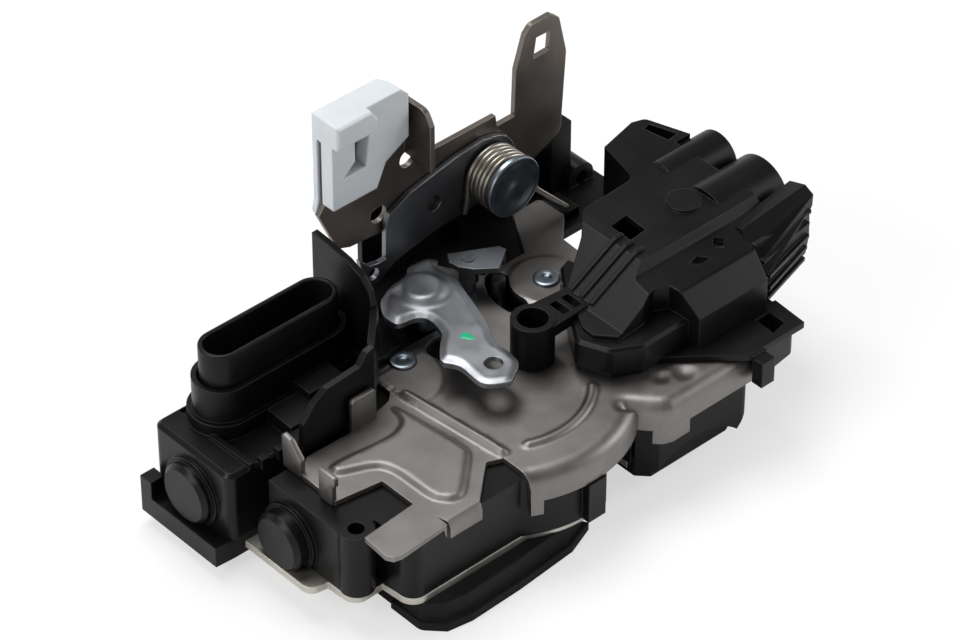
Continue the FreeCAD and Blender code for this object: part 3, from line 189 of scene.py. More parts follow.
def rolled_sheet(name, dark, light, edge_colour, rough_low, rough_high, mottle_mm=9.0):
    """Zinc on rolled sheet. A cloudy mottle gives the dull bloom of the plating, a fine grain comes from
    the rolls, and sheared edges are painted brighter: a painted highlight where they catch the light,
    and partly where they have rubbed bright."""
    material, shader, place = start(name)
    soft, edge = eased_edges(material, 0.3)
    cloud = add(material, "ShaderNodeTexNoise", {"Scale": per_mm(mottle_mm), "Detail": 4.0},
                {"Vector": place}).outputs["Fac"]
    fine = add(material, "ShaderNodeTexNoise", {"Scale": per_mm(0.5), "Detail": 2.0},
               {"Vector": place}).outputs["Fac"]
    even = add(material, "ShaderNodeMapRange", {1: 0.3, 2: 0.7, 3: 0.0, 4: 1.0}, {0: cloud}).outputs[0]
    body = add(material, "ShaderNodeMix", {"data_type": "RGBA", 6: linear(dark), 7: linear(light)},
               {0: even}).outputs[2]
    # Painted highlight along the eased edges, partly also a rubbed bright edge, mixed in at 0.6.
    painted_edge_highlight = add(material, "ShaderNodeMath", {"operation": "MULTIPLY", 1: 0.6}, {0: edge}).outputs[0]
    colour = add(material, "ShaderNodeMix", {"data_type": "RGBA", 7: linear(edge_colour)},
                 {0: painted_edge_highlight, 6: body}).outputs[2]
    rough = add(material, "ShaderNodeMapRange", {1: 0.3, 2: 0.7, 3: rough_low, 4: rough_high},
                {0: cloud}).outputs[0]
    skin = add(material, "ShaderNodeBump", {"Strength": 0.05, "Distance": 0.02 * MM},
               {"Height": fine, "Normal": soft}).outputs["Normal"]
    wire(material, shader, {"Base Color": colour, "Roughness": rough, "Normal": skin})
    shader.inputs["Metallic"].default_value = 1.0
    return material


def turned_steel(name, dark, light, rough_low, rough_high, dents=0.06):
    """Riveted or turned steel under bright zinc: a smooth bluish film, faint clouds and tiny tool marks."""
    material, shader, place = start(name)
    cloud = add(material, "ShaderNodeTexNoise", {"Scale": per_mm(3.0), "Detail": 3.0},
                {"Vector": place}).outputs["Fac"]
    marks = add(material, "ShaderNodeTexNoise", {"Scale": per_mm(0.6), "Detail": 1.0},
                {"Vector": place}).outputs["Fac"]
    even = add(material, "ShaderNodeMapRange", {1: 0.3, 2: 0.7, 3: 0.0, 4: 1.0}, {0: cloud}).outputs[0]
    body = add(material, "ShaderNodeMix", {"data_type": "RGBA", 6: linear(dark), 7: linear(light)},
               {0: even}).outputs[2]
    rough = add(material, "ShaderNodeMapRange", {1: 0.3, 2: 0.7, 3: rough_low, 4: rough_high},
                {0: cloud}).outputs[0]
    skin = add(material, "ShaderNodeBump", {"Strength": dents, "Distance": 0.04 * MM},
               {"Height": marks}).outputs["Normal"]
    wire(material, shader, {"Base Color": body, "Roughness": rough, "Normal": skin})
    shader.inputs["Metallic"].default_value = 1.0
    return material


def milky_acetal(name):
    """Natural acetal, injection moulded. Light enters it for a few millimetres, so thin walls glow and
    corners look soft."""
    material, shader, place = start(name)
    soft, _ = eased_edges(material, 0.7)
    flow = add(material, "ShaderNodeTexNoise", {"Scale": per_mm(8.0), "Detail": 2.0},
               {"Vector": place}).outputs["Fac"]
    body = add(material, "ShaderNodeMix", {"data_type": "RGBA", 6: linear("#c2c7cb"), 7: linear("#d2d6d9")},
               {0: flow}).outputs[2]
    rough = add(material, "ShaderNodeMapRange", {1: 0.3, 2: 0.7, 3: 0.36, 4: 0.5}, {0: flow}).outputs[0]
    skin = add(material, "ShaderNodeBump", {"Strength": 0.05, "Distance": 0.05 * MM},
               {"Height": flow, "Normal": soft}).outputs["Normal"]
    wire(material, shader, {"Base Color": body, "Roughness": rough, "Normal": skin})
    shader.inputs["IOR"].default_value = 1.48
    shader.inputs["Subsurface Weight"].default_value = 0.3
    shader.inputs["Subsurface Radius"].default_value = (1.0, 1.0, 1.1)
    shader.inputs["Subsurface Scale"].default_value = 2.0 * MM
    return material


def sealing_rubber(name):
    """Moulded sealing rubber: matte, with a fine pimpled skin and a dusty bloom."""
    material, shader, place = start(name)
    soft, _ = eased_edges(material, 0.8)
    bloom = add(material, "ShaderNodeTexNoise", {"Scale": per_mm(11.0), "Detail": 3.0},
                {"Vector": place}).outputs["Fac"]
    pimples = add(material, "ShaderNodeTexNoise", {"Scale": per_mm(0.6), "Detail": 3.0},
                  {"Vector": place}).outputs["Fac"]
    body = add(material, "ShaderNodeMix", {"data_type": "RGBA", 6: linear("#0d0d0e"), 7: linear("#1a1a1b")},
               {0: bloom}).outputs[2]
    skin = add(material, "ShaderNodeBump", {"Strength": 0.2, "Distance": 0.08 * MM},
               {"Height": pimples, "Normal": soft}).outputs["Normal"]
    wire(material, shader, {"Base Color": body, "Normal": skin})
    shader.inputs["Roughness"].default_value = 0.7
    shader.inputs["Specular IOR Level"].default_value = PLASTIC_SHINE
    return material


def marking_paint(name):
    """A dab of green marking paint, glossy and thicker where the brush left it."""
    material, shader, place = start(name)
    drops = add(material, "ShaderNodeTexNoise", {"Scale": per_mm(0.8), "Detail": 2.0},
                {"Vector": place}).outputs["Fac"]
    body = add(material, "ShaderNodeMix", {"data_type": "RGBA", 6: linear("#0a8a5e"), 7: linear("#22c590")},
               {0: drops}).outputs[2]
    skin = add(material, "ShaderNodeBump", {"Strength": 0.3, "Distance": 0.05 * MM},
               {"Height": drops}).outputs["Normal"]
    wire(material, shader, {"Base Color": body, "Normal": skin})
    shader.inputs["Roughness"].default_value = 0.3
    return material


# The third colour given to each plastic and sheet is the paler colour of its edges: a painted highlight, and
# on the sheets partly also a rubbed edge.
MATERIALS = {
    "black_moulded_plastic": moulded_plastic(
        "glass_filled_nylon_spark_grain", "#070708", "#0c0c0d", "#333336", 0.3, 0.42),
    "zinc_plated_steel": rolled_sheet(
        "stamped_steel_zinc_plated", "#74716f", "#83807d", "#bab7b3", 0.42, 0.5),
    "bare_rolled_steel": rolled_sheet(
        "rolled_steel_passivated", "#67615c", "#78716b", "#aaa39c", 0.38, 0.48, 12.0),
    "bright_zinc_lever": rolled_sheet(
        "pressed_steel_bright_zinc", "#8f9195", "#9c9ea2", "#d0d2d5", 0.34, 0.44, 6.0),
    "bright_zinc_rivet": turned_steel("turned_steel_bright_zinc", "#808a93", "#8e98a1", 0.28, 0.36),
    "pressed_steel_face": rolled_sheet(
        "face_sheet_zinc_plated", "#bab6ac", "#cfccc3", "#e6e4de", 0.4, 0.5),
    "spring_steel_wire": turned_steel("drawn_spring_wire", "#8f8a82", "#a9a49b", 0.3, 0.4),
    "hardened_steel": turned_steel("tumbled_hardened_steel", "#6e6e70", "#858587", 0.36, 0.46, 0.15),
    "motor_can_steel": rolled_sheet("drawn_can_zinc_plated", "#929292", "#a5a5a5", "#c8c8c8", 0.34, 0.44),
    "tinned_brass": rolled_sheet("tinned_brass_terminals", "#a99868", "#c1b284", "#ddd0a4", 0.28, 0.38),
    "natural_acetal": milky_acetal("natural_acetal_moulded"),
    "seal_rubber": sealing_rubber("black_sealing_rubber_moulded"),
    "claw_skin_plastic": moulded_plastic(
        "claw_overmould_smooth", "#121213", "#18181a", "#404043", 0.3, 0.4, 0.6, 0.05),
    "board_laminate": moulded_plastic(
        "solder_mask_laminate", "#0c3a20", "#125230", "#2f6b49", 0.28, 0.4, 0.8, 0.05),
}
# The second lever and the small link lever have a smoother, bluer film than the back plate.
BLUE_SHEET = rolled_sheet("rolled_sheet_blue_zinc", "#6d6f73", "#7d7f83", "#aeb0b4", 0.36, 0.44, 10.0)
FINISH_OF = {"transfer_lever": BLUE_SHEET, "link_lever": BLUE_SHEET}
MARKING = marking_paint("green_marking_paint_brushed")

slots = {entry["node"]: entry["material_slot"] for entry in frame["record"]["subparts"]}
bodies = frame["record"]["behaviour"]["bodies"]
body_of = {node: body for body, members in bodies.items() for node in members}


def dress_solids():
    """Gives each CAD node its finish."""
    for name, node in frame["nodes"].items():
        finish = FINISH_OF.get(name, MATERIALS[slots[name]])
        for place in node.material_slots:
            place.material = finish
        if not node.material_slots:
            node.data.materials.append(finish)


def piece(name, points, faces, sharp_degrees=32.0):
    """A new mesh from layout points in millimetres, with smooth faces and sharp real corners."""
    mesh = bpy.data.meshes.new(name)
    mesh.from_pydata([at(*point) for point in points], [], faces)
    work = bmesh.new()
    work.from_mesh(mesh)
    bmesh.ops.remove_doubles(work, verts=work.verts, dist=0.001 * MM)
    bmesh.ops.recalc_face_normals(work, faces=work.faces)
    work.to_mesh(mesh)
    work.free()
    mesh.shade_smooth()
    mesh.set_sharp_from_angle(angle=math.radians(sharp_degrees))
    made = bpy.data.objects.new(name, mesh)
    bpy.context.collection.objects.link(made)
    return made


def part_of(made, node):
    """The new piece gets the finish that the slot of a CAD node names, and that node's body."""
    made.data.materials.append(MATERIALS[slots[node]])
    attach(made, body_of[node])


def stand_for(made, node):
    """The new piece takes a CAD node's place."""
    part_of(made, node)
    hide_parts(node)


def ring_faces(rings, count):
    """Faces between rings of points that follow each other, with the first and last ring closed."""
    faces = []
    for ring in range(rings - 1):
        low = ring * count
        for i in range(count):
            j = (i + 1) % count
            faces.append((low + i, low + j, low + count + j, low + count + i))
    faces.append(tuple(range(count)))
    faces.append(tuple(range((rings - 1) * count, rings * count)))
    return faces


def turned(name, profile, centre, axis, sides=72):
    """A turned piece from (radius, height along the axis) pairs. The axis is y or z."""
    points = []
    for radius, rise in profile:
        for i in range(sides):
            a = 2.0 * math.pi * i / sides
            u, v = max(radius, 0.004) * math.cos(a), max(radius, 0.004) * math.sin(a)
            if axis == "y":
                points.append((centre[0] + u, rise, centre[1] + v))
            else:
                points.append((centre[0] + u, centre[1] + v, rise))
    return piece(name, points, ring_faces(len(profile), sides))


def swept_wire(name, path, radius, sides=14):
    """Round wire along a path, with its ends closed."""
    path = [Vector(point) for point in path]
    across = (path[1] - path[0]).cross(Vector((0.3, 0.4, 0.85))).normalized()
    points = []
    for i, centre in enumerate(path):
        along = (path[min(i + 1, len(path) - 1)] - path[max(i - 1, 0)]).normalized()
        across = (across - along * across.dot(along)).normalized()
        upward = along.cross(across)
        for k in range(sides):
            a = 2.0 * math.pi * k / sides
            points.append(centre + across * (radius * math.cos(a)) + upward * (radius * math.sin(a)))
    return piece(name, points, ring_faces(len(path), sides), 50.0)


def eased_path(points, radius, steps=6):
    """The path with each inner corner turned into a small bend."""
    points = [Vector(point) for point in points]
    path = [points[0]]
    for before, corner, after in zip(points, points[1:], points[2:]):
        reach = min(radius, 0.45 * (corner - before).length, 0.45 * (after - corner).length)
        first = corner + (before - corner).normalized() * reach
        last = corner + (after - corner).normalized() * reach
        for i in range(steps + 1):
            t = i / steps
            path.append(first * (1 - t) ** 2 + corner * 2 * t * (1 - t) + last * t ** 2)
    path.append(points[-1])
    return path


def lever_pin():
    """Turned pin with a flat bluish head, a bright eased rim and a shallow ring from the lathe."""
    face, rim = PIN_FACE_Y, PIN_HEAD_R
    back = face + PIN_HEAD_T
    dimple = [(0.0, face + 0.12), (0.9, face + 0.12), (1.3, face)]
    ring = [(rim - 1.6, face), (rim - 1.35, face + 0.07), (rim - 1.1, face)]
    edge = [(rim - 0.55, face), (rim - 0.2, face + 0.1), (rim - 0.05, face + 0.28), (rim, face + 0.5),
            (rim, back - 0.3), (rim - 0.2, back)]
    shank = [(PIN_R, back), (PIN_R, PIN_END_Y), (0.0, PIN_END_Y)]
    stand_for(turned("lever_pin_turned", dimple + ring + edge + shank, (PIN_X, PIN_Z), "y"), "lever_pin")


def rivet(name, node, x):
    """Rivet with a spun head: flat crown, rounded rim and a small round dimple."""
    foot, seat, top, shank_r, head_r = 8.0, 30.5, 31.4, 2.8, 3.5
    shank = [(0.0, foot), (shank_r, foot), (shank_r, seat)]
    rim = [(head_r - 0.1, seat), (head_r, seat + 0.15), (head_r, top - 0.45), (head_r - 0.12, top - 0.2),
           (head_r - 0.4, top - 0.04), (head_r - 0.7, top)]
    dimple = [(1.5, top), (1.3, top - 0.08), (1.0, top - 0.35), (0.6, top - 0.45), (0.0, top - 0.47)]
    stand_for(turned(name, shank + rim + dimple, (x, 0.0), "z", 48), node)


def handle_spring():
    """Round wire coiled four and a half turns round the pin, with a leg to the base and a hook."""
    coil_r, wire_r, first_y, turns, pitch, steps = 7.7, 0.7, 15.6, 4.5, 1.46, 40
    coil = []
    for i in range(int(turns * steps) + 1):
        a = 2.0 * math.pi * i / steps
        coil.append(Vector((PIN_X + coil_r * math.cos(a), first_y + pitch * i / steps,
                            PIN_Z + coil_r * math.sin(a))))
    last_y = coil[-1].y
    leg = eased_path([(71.8, 17.6, 31.3), (58.3, first_y, 45.6), coil[0]], 2.5)
    hook = eased_path([coil[-1], (41.5, last_y, PIN_Z - 4.0), (40.7, last_y, 42.6)], 2.0)
    stand_for(swept_wire("torsion_spring_wound", leg[:-1] + coil + hook[1:], wire_r), "torsion_spring")


def stadium(left, right, y, half, z, steps=18):
    """One loop of points round a long hole with round ends."""
    loop = []
    for centre, first in ((right, -90.0), (left, 90.0)):
        for i in range(steps + 1):
            a = math.radians(first + 180.0 * i / steps)
            loop.append((centre + half * math.cos(a), y + half * math.sin(a), z))
    return loop


def plug_shroud():
    """Smooth-walled plug shroud with a rounded lip and a floor for its terminals."""
    half, left, length, y, wall = 5.6, -50.6, 41.0, 15.0, 1.3
    foot, floor, top = 28.8, 33.0, 52.4
    profile = [(0.0, foot), (0.0, top - 0.5), (-0.12, top - 0.2), (-0.4, top), (-0.9, top),
               (-wall + 0.12, top - 0.2), (-wall, top - 0.5), (-wall, floor)]
    points = []
    for offset, z in profile:
        points += stadium(left + half, left + length - half, y, half + offset, z)
    faces = ring_faces(len(profile), len(points) // len(profile))
    stand_for(piece("connector_shroud_moulded", points, faces), "connector_shroud")


def arc(x, y, radius, first, last, steps):
    """Points along an arc, from one angle to another in degrees."""
    angles = [math.radians(first + (last - first) * i / steps) for i in range(steps + 1)]
    return [(x + radius * math.cos(a), y + radius * math.sin(a)) for a in angles]


def rounded_loop(corners, rounds=3):
    """A closed outline whose corners are cut away again and again until they are round."""
    loop = list(corners)
    for _ in range(rounds):
        finer = []
        for first, second in zip(loop, loop[1:] + loop[:1]):
            finer.append((0.82 * first[0] + 0.18 * second[0], 0.82 * first[1] + 0.18 * second[1]))
            finer.append((0.18 * first[0] + 0.82 * second[0], 0.18 * first[1] + 0.82 * second[1]))
        loop = finer
    return loop


def in_steps(path, step, closed):
    """The same path with more points, no further apart than a step."""
    spots = []
    for first, last in zip(path, path[1:] + path[:1] if closed else path[1:]):
        count = max(1, math.ceil(math.dist(first, last) / step))
        for i in range(count):
            t = i / count
            spots.append((first[0] + t * (last[0] - first[0]), first[1] + t * (last[1] - first[1])))
    return spots if closed else spots + [path[-1]]


def beside(path, offset):
    """The points of a path moved sideways, to its left for a positive offset."""
    moved = []
    for i, spot in enumerate(path):
        before, after = path[max(i - 1, 0)], path[min(i + 1, len(path) - 1)]
        length = math.dist(before, after)
        across = (before[1] - after[1], after[0] - before[0])
        moved.append((spot[0] + offset * across[0] / length, spot[1] + offset * across[1] / length))
    return moved


def inside(point, loop):
    """Whether a flat point is inside a closed loop of points."""
    found = False
    for (x0, y0), (x1, y1) in zip(loop, loop[1:] + loop[:1]):
        if (y0 > point[1]) != (y1 > point[1]):
            if point[0] < x0 + (point[1] - y0) * (x1 - x0) / (y1 - y0):
                found = not found
    return found


def reach_along(point, path):
    """Distance from a flat point to an open path."""
    best = 1e9
    for (x0, y0), (x1, y1) in zip(path, path[1:]):
        length = (x1 - x0) ** 2 + (y1 - y0) ** 2
        t = 0.0
        if length > 0:
            t = ((point[0] - x0) * (x1 - x0) + (point[1] - y0) * (y1 - y0)) / length
            t = min(1.0, max(0.0, t))
        best = min(best, math.hypot(point[0] - x0 - t * (x1 - x0), point[1] - y0 - t * (y1 - y0)))
    return best


def reach_to(point, loop):
    """Distance from a flat point to a closed loop of points."""
    return reach_along(point, loop + loop[:1])


def eased(value):
    """A smooth step from 0 to 1."""
    value = min(1.0, max(0.0, value))
    return value * value * (3.0 - 2.0 * value)


def bent_down(edge, radius):
    """How far the sheet has dropped this far from its bent edge."""
    if edge >= radius:
        return 0.0
    return radius - math.sqrt(max(0.0, radius ** 2 - (radius - edge) ** 2))


def sheet_rim(outlines, holes, spacing):
    """The cut edges in small steps, without the stretches where one outline runs inside another."""
    spots = []
    edges = []
    for loop in outlines + holes:
        others = [] if loop in holes else [other for other in outlines if other is not loop]
        fine = in_steps(loop, spacing, True)
        first = len(spots)
        spots += fine
        for i, spot in enumerate(fine):
            after = fine[(i + 1) % len(fine)]
            middle = (0.5 * (spot[0] + after[0]), 0.5 * (spot[1] + after[1]))
            if not any(inside(middle, other) for other in others):
                edges.append((first + i, first + (i + 1) % len(fine)))
    return spots, edges


def has_room(spot, gap, taken):
    """Whether no earlier point is nearer than the gap. If so, the spot is now taken."""
    cell = (round(spot[0]), round(spot[1]))
    near = [taken.get((cell[0] + i, cell[1] + j), []) for i in (-1, 0, 1) for j in (-1, 0, 1)]
    if any(math.dist(spot, other) < gap for group in near for other in group):
        return False
    taken.setdefault(cell, []).append(spot)
    return True


def staggered_grid(spots, spacing):
    """Rows of points over the area of the given spots, each row half a step beside the last."""
    low_x, high_x = min(p[0] for p in spots), max(p[0] for p in spots)
    low_y, high_y = min(p[1] for p in spots), max(p[1] for p in spots)
    grid = []
    for row in range(int((high_y - low_y) / (0.87 * spacing)) + 1):
        for column in range(int((high_x - low_x) / spacing) + 1):
            grid.append((low_x + (column + 0.5 * (row % 2)) * spacing, low_y + row * 0.87 * spacing))
    return grid


def pressed_sheet(name, outlines, holes, height, spacing, presses=(), foot=None):
    """A sheet cut to the joined outlines less the holes, whose upper face follows a height. Rows of points
    run along each press, so its slopes come out clean. The underside reaches down to the foot's height,
    where one is given, so a drawn edge is one surface with its sheet."""
    loops = outlines + holes
    flat, edges = sheet_rim(outlines, holes, spacing)
    grid = staggered_grid(flat, spacing)
    taken = {}

    def in_sheet(spot):
        return any(inside(spot, loop) for loop in outlines) and not any(inside(spot, hole) for hole in holes)

    def clear_of_rim(spot, gap):
        return in_sheet(spot) and min(reach_to(spot, loop) for loop in loops) > gap

    for path, offsets in presses:
        row = in_steps(path, 0.8 * spacing, False)
        for offset in offsets:
            for spot in beside(row, offset):
                if clear_of_rim(spot, 0.25) and has_room(spot, 0.35, taken):
                    flat.append(spot)
    for spot in grid:
        if clear_of_rim(spot, 0.4 * spacing) and has_room(spot, 0.6 * spacing, taken):
            flat.append(spot)
    spots, _, triangles, *_ = delaunay_2d_cdt([Vector(p) for p in flat], edges, [], 0, 1e-4)
    spots = [(p.x, p.y) for p in spots]
    kept = []
    for triangle in triangles:
        if in_sheet((sum(spots[i][0] for i in triangle) / 3.0, sum(spots[i][1] for i in triangle) / 3.0)):
            kept.append(tuple(triangle))
    count = len(spots)
    top = [(x, y, height(x, y)) for x, y in spots]
    bottom = [(x, y, min(z - SHEET_T, foot(x, y) if foot else z)) for x, y, z in top]
    sides = {(a, b) for triangle in kept for a, b in zip(triangle, triangle[1:] + triangle[:1])}
    walls = [(a, b, b + count, a + count) for a, b in sides if (b, a) not in sides]
    under = [tuple(i + count for i in reversed(triangle)) for triangle in kept]
    return piece(name, top + bottom, kept + under + sorted(walls), 40.0)


def release_lever():
    """Bright pressed lever: a round cup over its stud, edges drawn down and a crowned arm with an eye."""
    cup_side = [(1.2, 8.3), (4.3, 13.4), (10.1, 16.2), (16.4, 16.9), (18.3, 19.2), (24.4, 18.6),
                (26.2, 16.4), (23.6, 13.6), (24.6, 10.3), (24.0, 6.0)]
    arm = [(21.3, -2.7), (17.7, -12.5), (14.8, -17.6), (15.0, -21.7), (14.6, -26.0), (13.2, -27.8),
           (10.8, -29.2), (7.8, -31.0), (3.1, -28.2), (1.9, -25.6), (2.8, -18.0), (-0.1, -13.8)]
    hollow_side = [(4.5, -8.8), (7.7, -6.3), (8.9, -1.6), (8.6, 1.4), (6.4, 3.1), (1.4, 3.8)]
    outer = rounded_loop(cup_side + arm + hollow_side)
    eye = arc(EYE_X, EYE_Y, EYE_R, 0.0, 348.0, 29)
    flat_z, cup_rise, drawn_down, crown_drop = 39.8, 1.8, 0.9, 0.5

    def height(x, y):
        rim = reach_to((x, y), outer)
        from_stud = math.hypot(x - RELEASE_X, y - RELEASE_Y)
        cup = cup_rise * (1.0 - eased((from_stud - 4.2) / 3.6))
        crown = -crown_drop * (1.0 - eased((y + 22.0) / 8.0)) if y < -14.0 else 0.0
        return flat_z - drawn_down * (1.0 - eased(rim / 1.8)) + cup + crown * eased(rim / 2.5)

    stand_for(pressed_sheet("release_lever_pressed", [outer], [eye], height, 0.9), "release_lever")


def plate_front():
    """The front edge of the back plate's round part."""
    return arc(DOME_X, DOME_Y, DOME_R, -119.0, -55.4, 48)


def plate_shelf_edge():
    """The front edge of the back plate's shelf, from the round part to the right."""
    return [(30.2, -48.5), (34.0, -53.0), (36.2, -55.2), (38.6, -56.2), (66.7, -56.2)]


def plate_lip():
    """The small bent edge over the block's front."""
    return [(-30.6, -51.9), (-20.6, -51.9)]


def plate_outlines():
    """The back plate's flat outlines: block side, tongue, round part, pawl side and front shelf."""
    block = [(-45.4, -14.6), (-40.4, -10.8), (-24, -11.2), (-12, -8.4), (-8, -4.6), (-4, -4.6),
             (-4, -41.2), (-10.0, -41.4), (-20.4, -50.6), *reversed(plate_lip()), (-30.8, -50.6),
             (-32.7, -42.2), (-32.7, -29.6), (-46.0, -27.6)]
    tongue = [(-31.5, -40.6), (-49.0, -41.9), (-49.6, -50.0), (-48.6, -51.8), (-46.4, -52.4),
              (-31.5, -51.4)]
    side = arc(DOME_X, DOME_Y, DOME_R - 1.0, -55.0, 49.0, 30)
    dome = [(-9.6, 4.0), (-9.6, -41.2), (-5.6, -43.0)] + plate_front() + side
    pawl = [(-8, -6), (-6, 3.6), (20, 4), (22, 21), (32, 23), (38, 12), (52, 12), (60.4, 25.8), (62, 26.0),
            (69.0, 26.0), (70.0, 25.0), (70.0, 17.0), (68.9, 15.4), (63.0, 9.6), (62.6, 3.4), (66.7, -6),
            (66.7, -54.0), (38, -54.0), (34.5, -48), (20, -40)]
    shelf = plate_shelf_edge() + [(66.7, -40), (34, -40)]
    return [block, tongue, dome, pawl, shelf]


def pin_opening():
    """The kidney opening that the pawl's pin travels in, round the pawl's rivet."""
    track_r, half, first, last = 12.6, 3.1, 136.0, 190.0
    start_x, start_y = arc(PAWL_X, 0.0, track_r, first, last, 1)[0]
    end_x, end_y = arc(PAWL_X, 0.0, track_r, first, last, 1)[1]
    loop = arc(PAWL_X, 0.0, track_r + half, first, last, 14)
    loop += arc(end_x, end_y, half, last, last + 180.0, 10)[1:-1]
    loop += arc(PAWL_X, 0.0, track_r - half, last, first, 14)
    return loop + arc(start_x, start_y, half, first - 180.0, first, 10)[1:-1]


def pressed_field():
    """The outline of the Z-shaped raised field over the block."""
    return rounded_loop([(-41.0, -21.2), (-39.4, -16.2), (-20.4, -18.4), (-15.8, -16.6), (-14.1, -10.7),
                         (-11.8, -10.6), (-9.0, -34.6), (-10.4, -37.4), (-20.0, -46.2), (-22.8, -47.6),
                         (-26.2, -46.8), (-29.1, -42.6), (-29.1, -29.6), (-31.0, -25.4)])


def back_plate():
    """Stamped back plate with its pressed field, rolled edge, long bead and drawn-down front edge. The
    presses run into the sheet in soft slopes, as a blunt tool leaves them."""
    front, shelf_edge, lip, field = plate_front(), plate_shelf_edge(), plate_lip(), pressed_field()
    roll = [(-7.8, -9.7), (-4.5, -41.3)]
    bead = arc(DOME_X, DOME_Y, 23.3, -114.0, -43.0, 30)
    window = arc(DOME_X, -3.0, 5.0, 0.0, 348.0, 29)
    field_rise, roll_rise, bead_rise, seat_rise = 1.1, 1.5, 0.9, 0.5
    hollows = [(43.5, -46.5, 3.4, 0.7), (49.0, -49.0, 4.0, 0.8)]

    def height(x, y):
        spot = (x, y)
        rise = 0.0
        if inside(spot, field):
            rise = field_rise * eased(reach_to(spot, field) / 2.0)
        rise = max(rise, roll_rise * (1.0 - eased(reach_along(spot, roll) / 2.0)))
        rise = max(rise, bead_rise * (1.0 - eased((reach_along(spot, bead) - 0.4) / 1.2)))
        rise = max(rise, seat_rise * (1.0 - eased((math.hypot(x - PAWL_X, y) - 9.2) / 1.0)))
        if x > -9.0 and y < 0.0:
            rise = max(rise, seat_rise * (1.0 - eased((math.hypot(x + 5.0, y + 3.0) - 11.6) / 1.2)))
        for hollow_x, hollow_y, size, depth in hollows:
            rise -= depth * (1.0 - eased(math.hypot(x - hollow_x, y - hollow_y) / size))
        fall = bent_down(min(reach_along(spot, front), reach_along(spot, shelf_edge)), BEND)
        fall = max(fall, bent_down(reach_along(spot, lip), LIP_BEND))
        return PLATE_TOP + rise - fall

    def foot(x, y):
        spot = (x, y)
        if min(reach_along(spot, front), reach_along(spot, shelf_edge)) < SHEET_T:
            return SKIRT_FOOT
        return LIP_FOOT if reach_along(spot, lip) < SHEET_T else PLATE_TOP

    bend_rows = [0.35, 0.8, 1.4, 2.2, 3.1, 4.2]
    presses = [(front, bend_rows), (shelf_edge, bend_rows), (lip, [0.3, 0.7, 1.2, 1.8]),
               (roll, [-2.0, -1.4, -0.8, -0.3, 0.3, 0.8, 1.4, 2.0]),
               (bead, [-1.6, -1.1, -0.7, -0.3, 0.3, 0.7, 1.1, 1.6]),
               (field + field[:1], [-2.0, -1.4, -0.8, -0.2, 0.2, 0.8, 1.4, 2.0])]
    holes = [pin_opening(), window]
    plate = pressed_sheet("back_plate_pressed", plate_outlines(), holes, height, 0.8, presses, foot)
    stand_for(plate, "back_plate")


def plate_tabs():
    """The parts of the back plate that stand down from its skirts and up at its left edge."""
    leg = arc(DOME_X, DOME_Y, DOME_R, -119.0, -113.8, 5)
    part_of(skirt("back_plate_leg", leg, SKIRT_FOOT, SKIRT_FOOT - 4.6), "back_plate")
    front_tab = [(34.4, -53.4), (36.2, -55.2), (38.6, -56.2), (44.5, -56.2)]
    part_of(skirt("back_plate_shelf_tab", front_tab, SKIRT_FOOT, SKIRT_FOOT - 4.4), "back_plate")
    under = PLATE_TOP - SHEET_T
    main = [(-26.2, under), (-18.4, under), (-18.4, 38.6), (-19.2, 39.4), (-25.4, 39.4), (-26.2, 38.6)]
    part_of(cut_from_sheet("back_plate_tab", main, "y", -11.3), "back_plate")
    curled = [(-14.8, under), (-8.0, under), (-7.6, 38.0), (-8.4, 38.8), (-11.0, 38.2), (-14.8, 34.0)]
    part_of(cut_from_sheet("back_plate_curled_tab", curled, "x", -45.6), "back_plate")
    hooked = [(-27.4, under), (-22.4, under), (-22.4, 37.6), (-28.2, 37.6), (-28.2, 34.8), (-27.4, 34.8)]
    part_of(cut_from_sheet("back_plate_hooked_tab", hooked, "x", -46.6), "back_plate")


def skirt(name, path, high, low, ease=0.25):
    """A strip of sheet that hangs below a path, with the sheet's thickness to the path's left."""
    points = []
    for i, (x, y) in enumerate(path):
        before, after = path[max(i - 1, 0)], path[min(i + 1, len(path) - 1)]
        along = Vector((after[0] - before[0], after[1] - before[1])).normalized()
        inner = (x - along.y * SHEET_T, y + along.x * SHEET_T)
        points += [(x, y, high), (x, y, low + ease), (x - along.y * ease, y + along.x * ease, low),
                   (*inner, low), (*inner, high)]
    return piece(name, points, ring_faces(len(path), 5), 40.0)


def cut_from_sheet(name, corners, axis, low, ease=0.3):
    """A flat tab of sheet with this outline across the x or y axis, its edges broken by a small round."""
    points = []
    for level in (low, low + SHEET_T):
        for u, v in corners:
            points.append((level, u, v) if axis == "x" else (u, level, v))
    made = piece(name, points, ring_faces(2, len(corners)))
    work = bmesh.new()
    work.from_mesh(made.data)
    bmesh.ops.bevel(work, geom=work.edges[:], offset=ease * MM, segments=3, profile=0.5, affect="EDGES")
    work.to_mesh(made.data)
    work.free()
    made.data.shade_smooth()
    made.data.set_sharp_from_angle(angle=math.radians(32.0))
    return made


def paint_dab(name, place, width, length, turn, body):
    """A small uneven dab of marking paint that lies on a face."""
    rings = [(1.0, 0.0), (0.94, 0.07), (0.7, 0.13), (0.35, 0.16)]
    count = 20
    points = []
    for share, rise in rings:
        for i in range(count):
            a = 2.0 * math.pi * i / count
            uneven = share * (1.0 + 0.16 * math.sin(3 * a + 0.7) + 0.09 * math.sin(5 * a + 2.0))
            u, v = uneven * width * math.cos(a), uneven * length * math.sin(a)
            points.append((place[0] + u * math.cos(turn) - v * math.sin(turn),
                           place[1] + u * math.sin(turn) + v * math.cos(turn), place[2] + rise))
    dab = piece(name, points, ring_faces(len(rings), count), 60.0)
    dab.data.materials.append(MARKING)
    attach(dab, body)


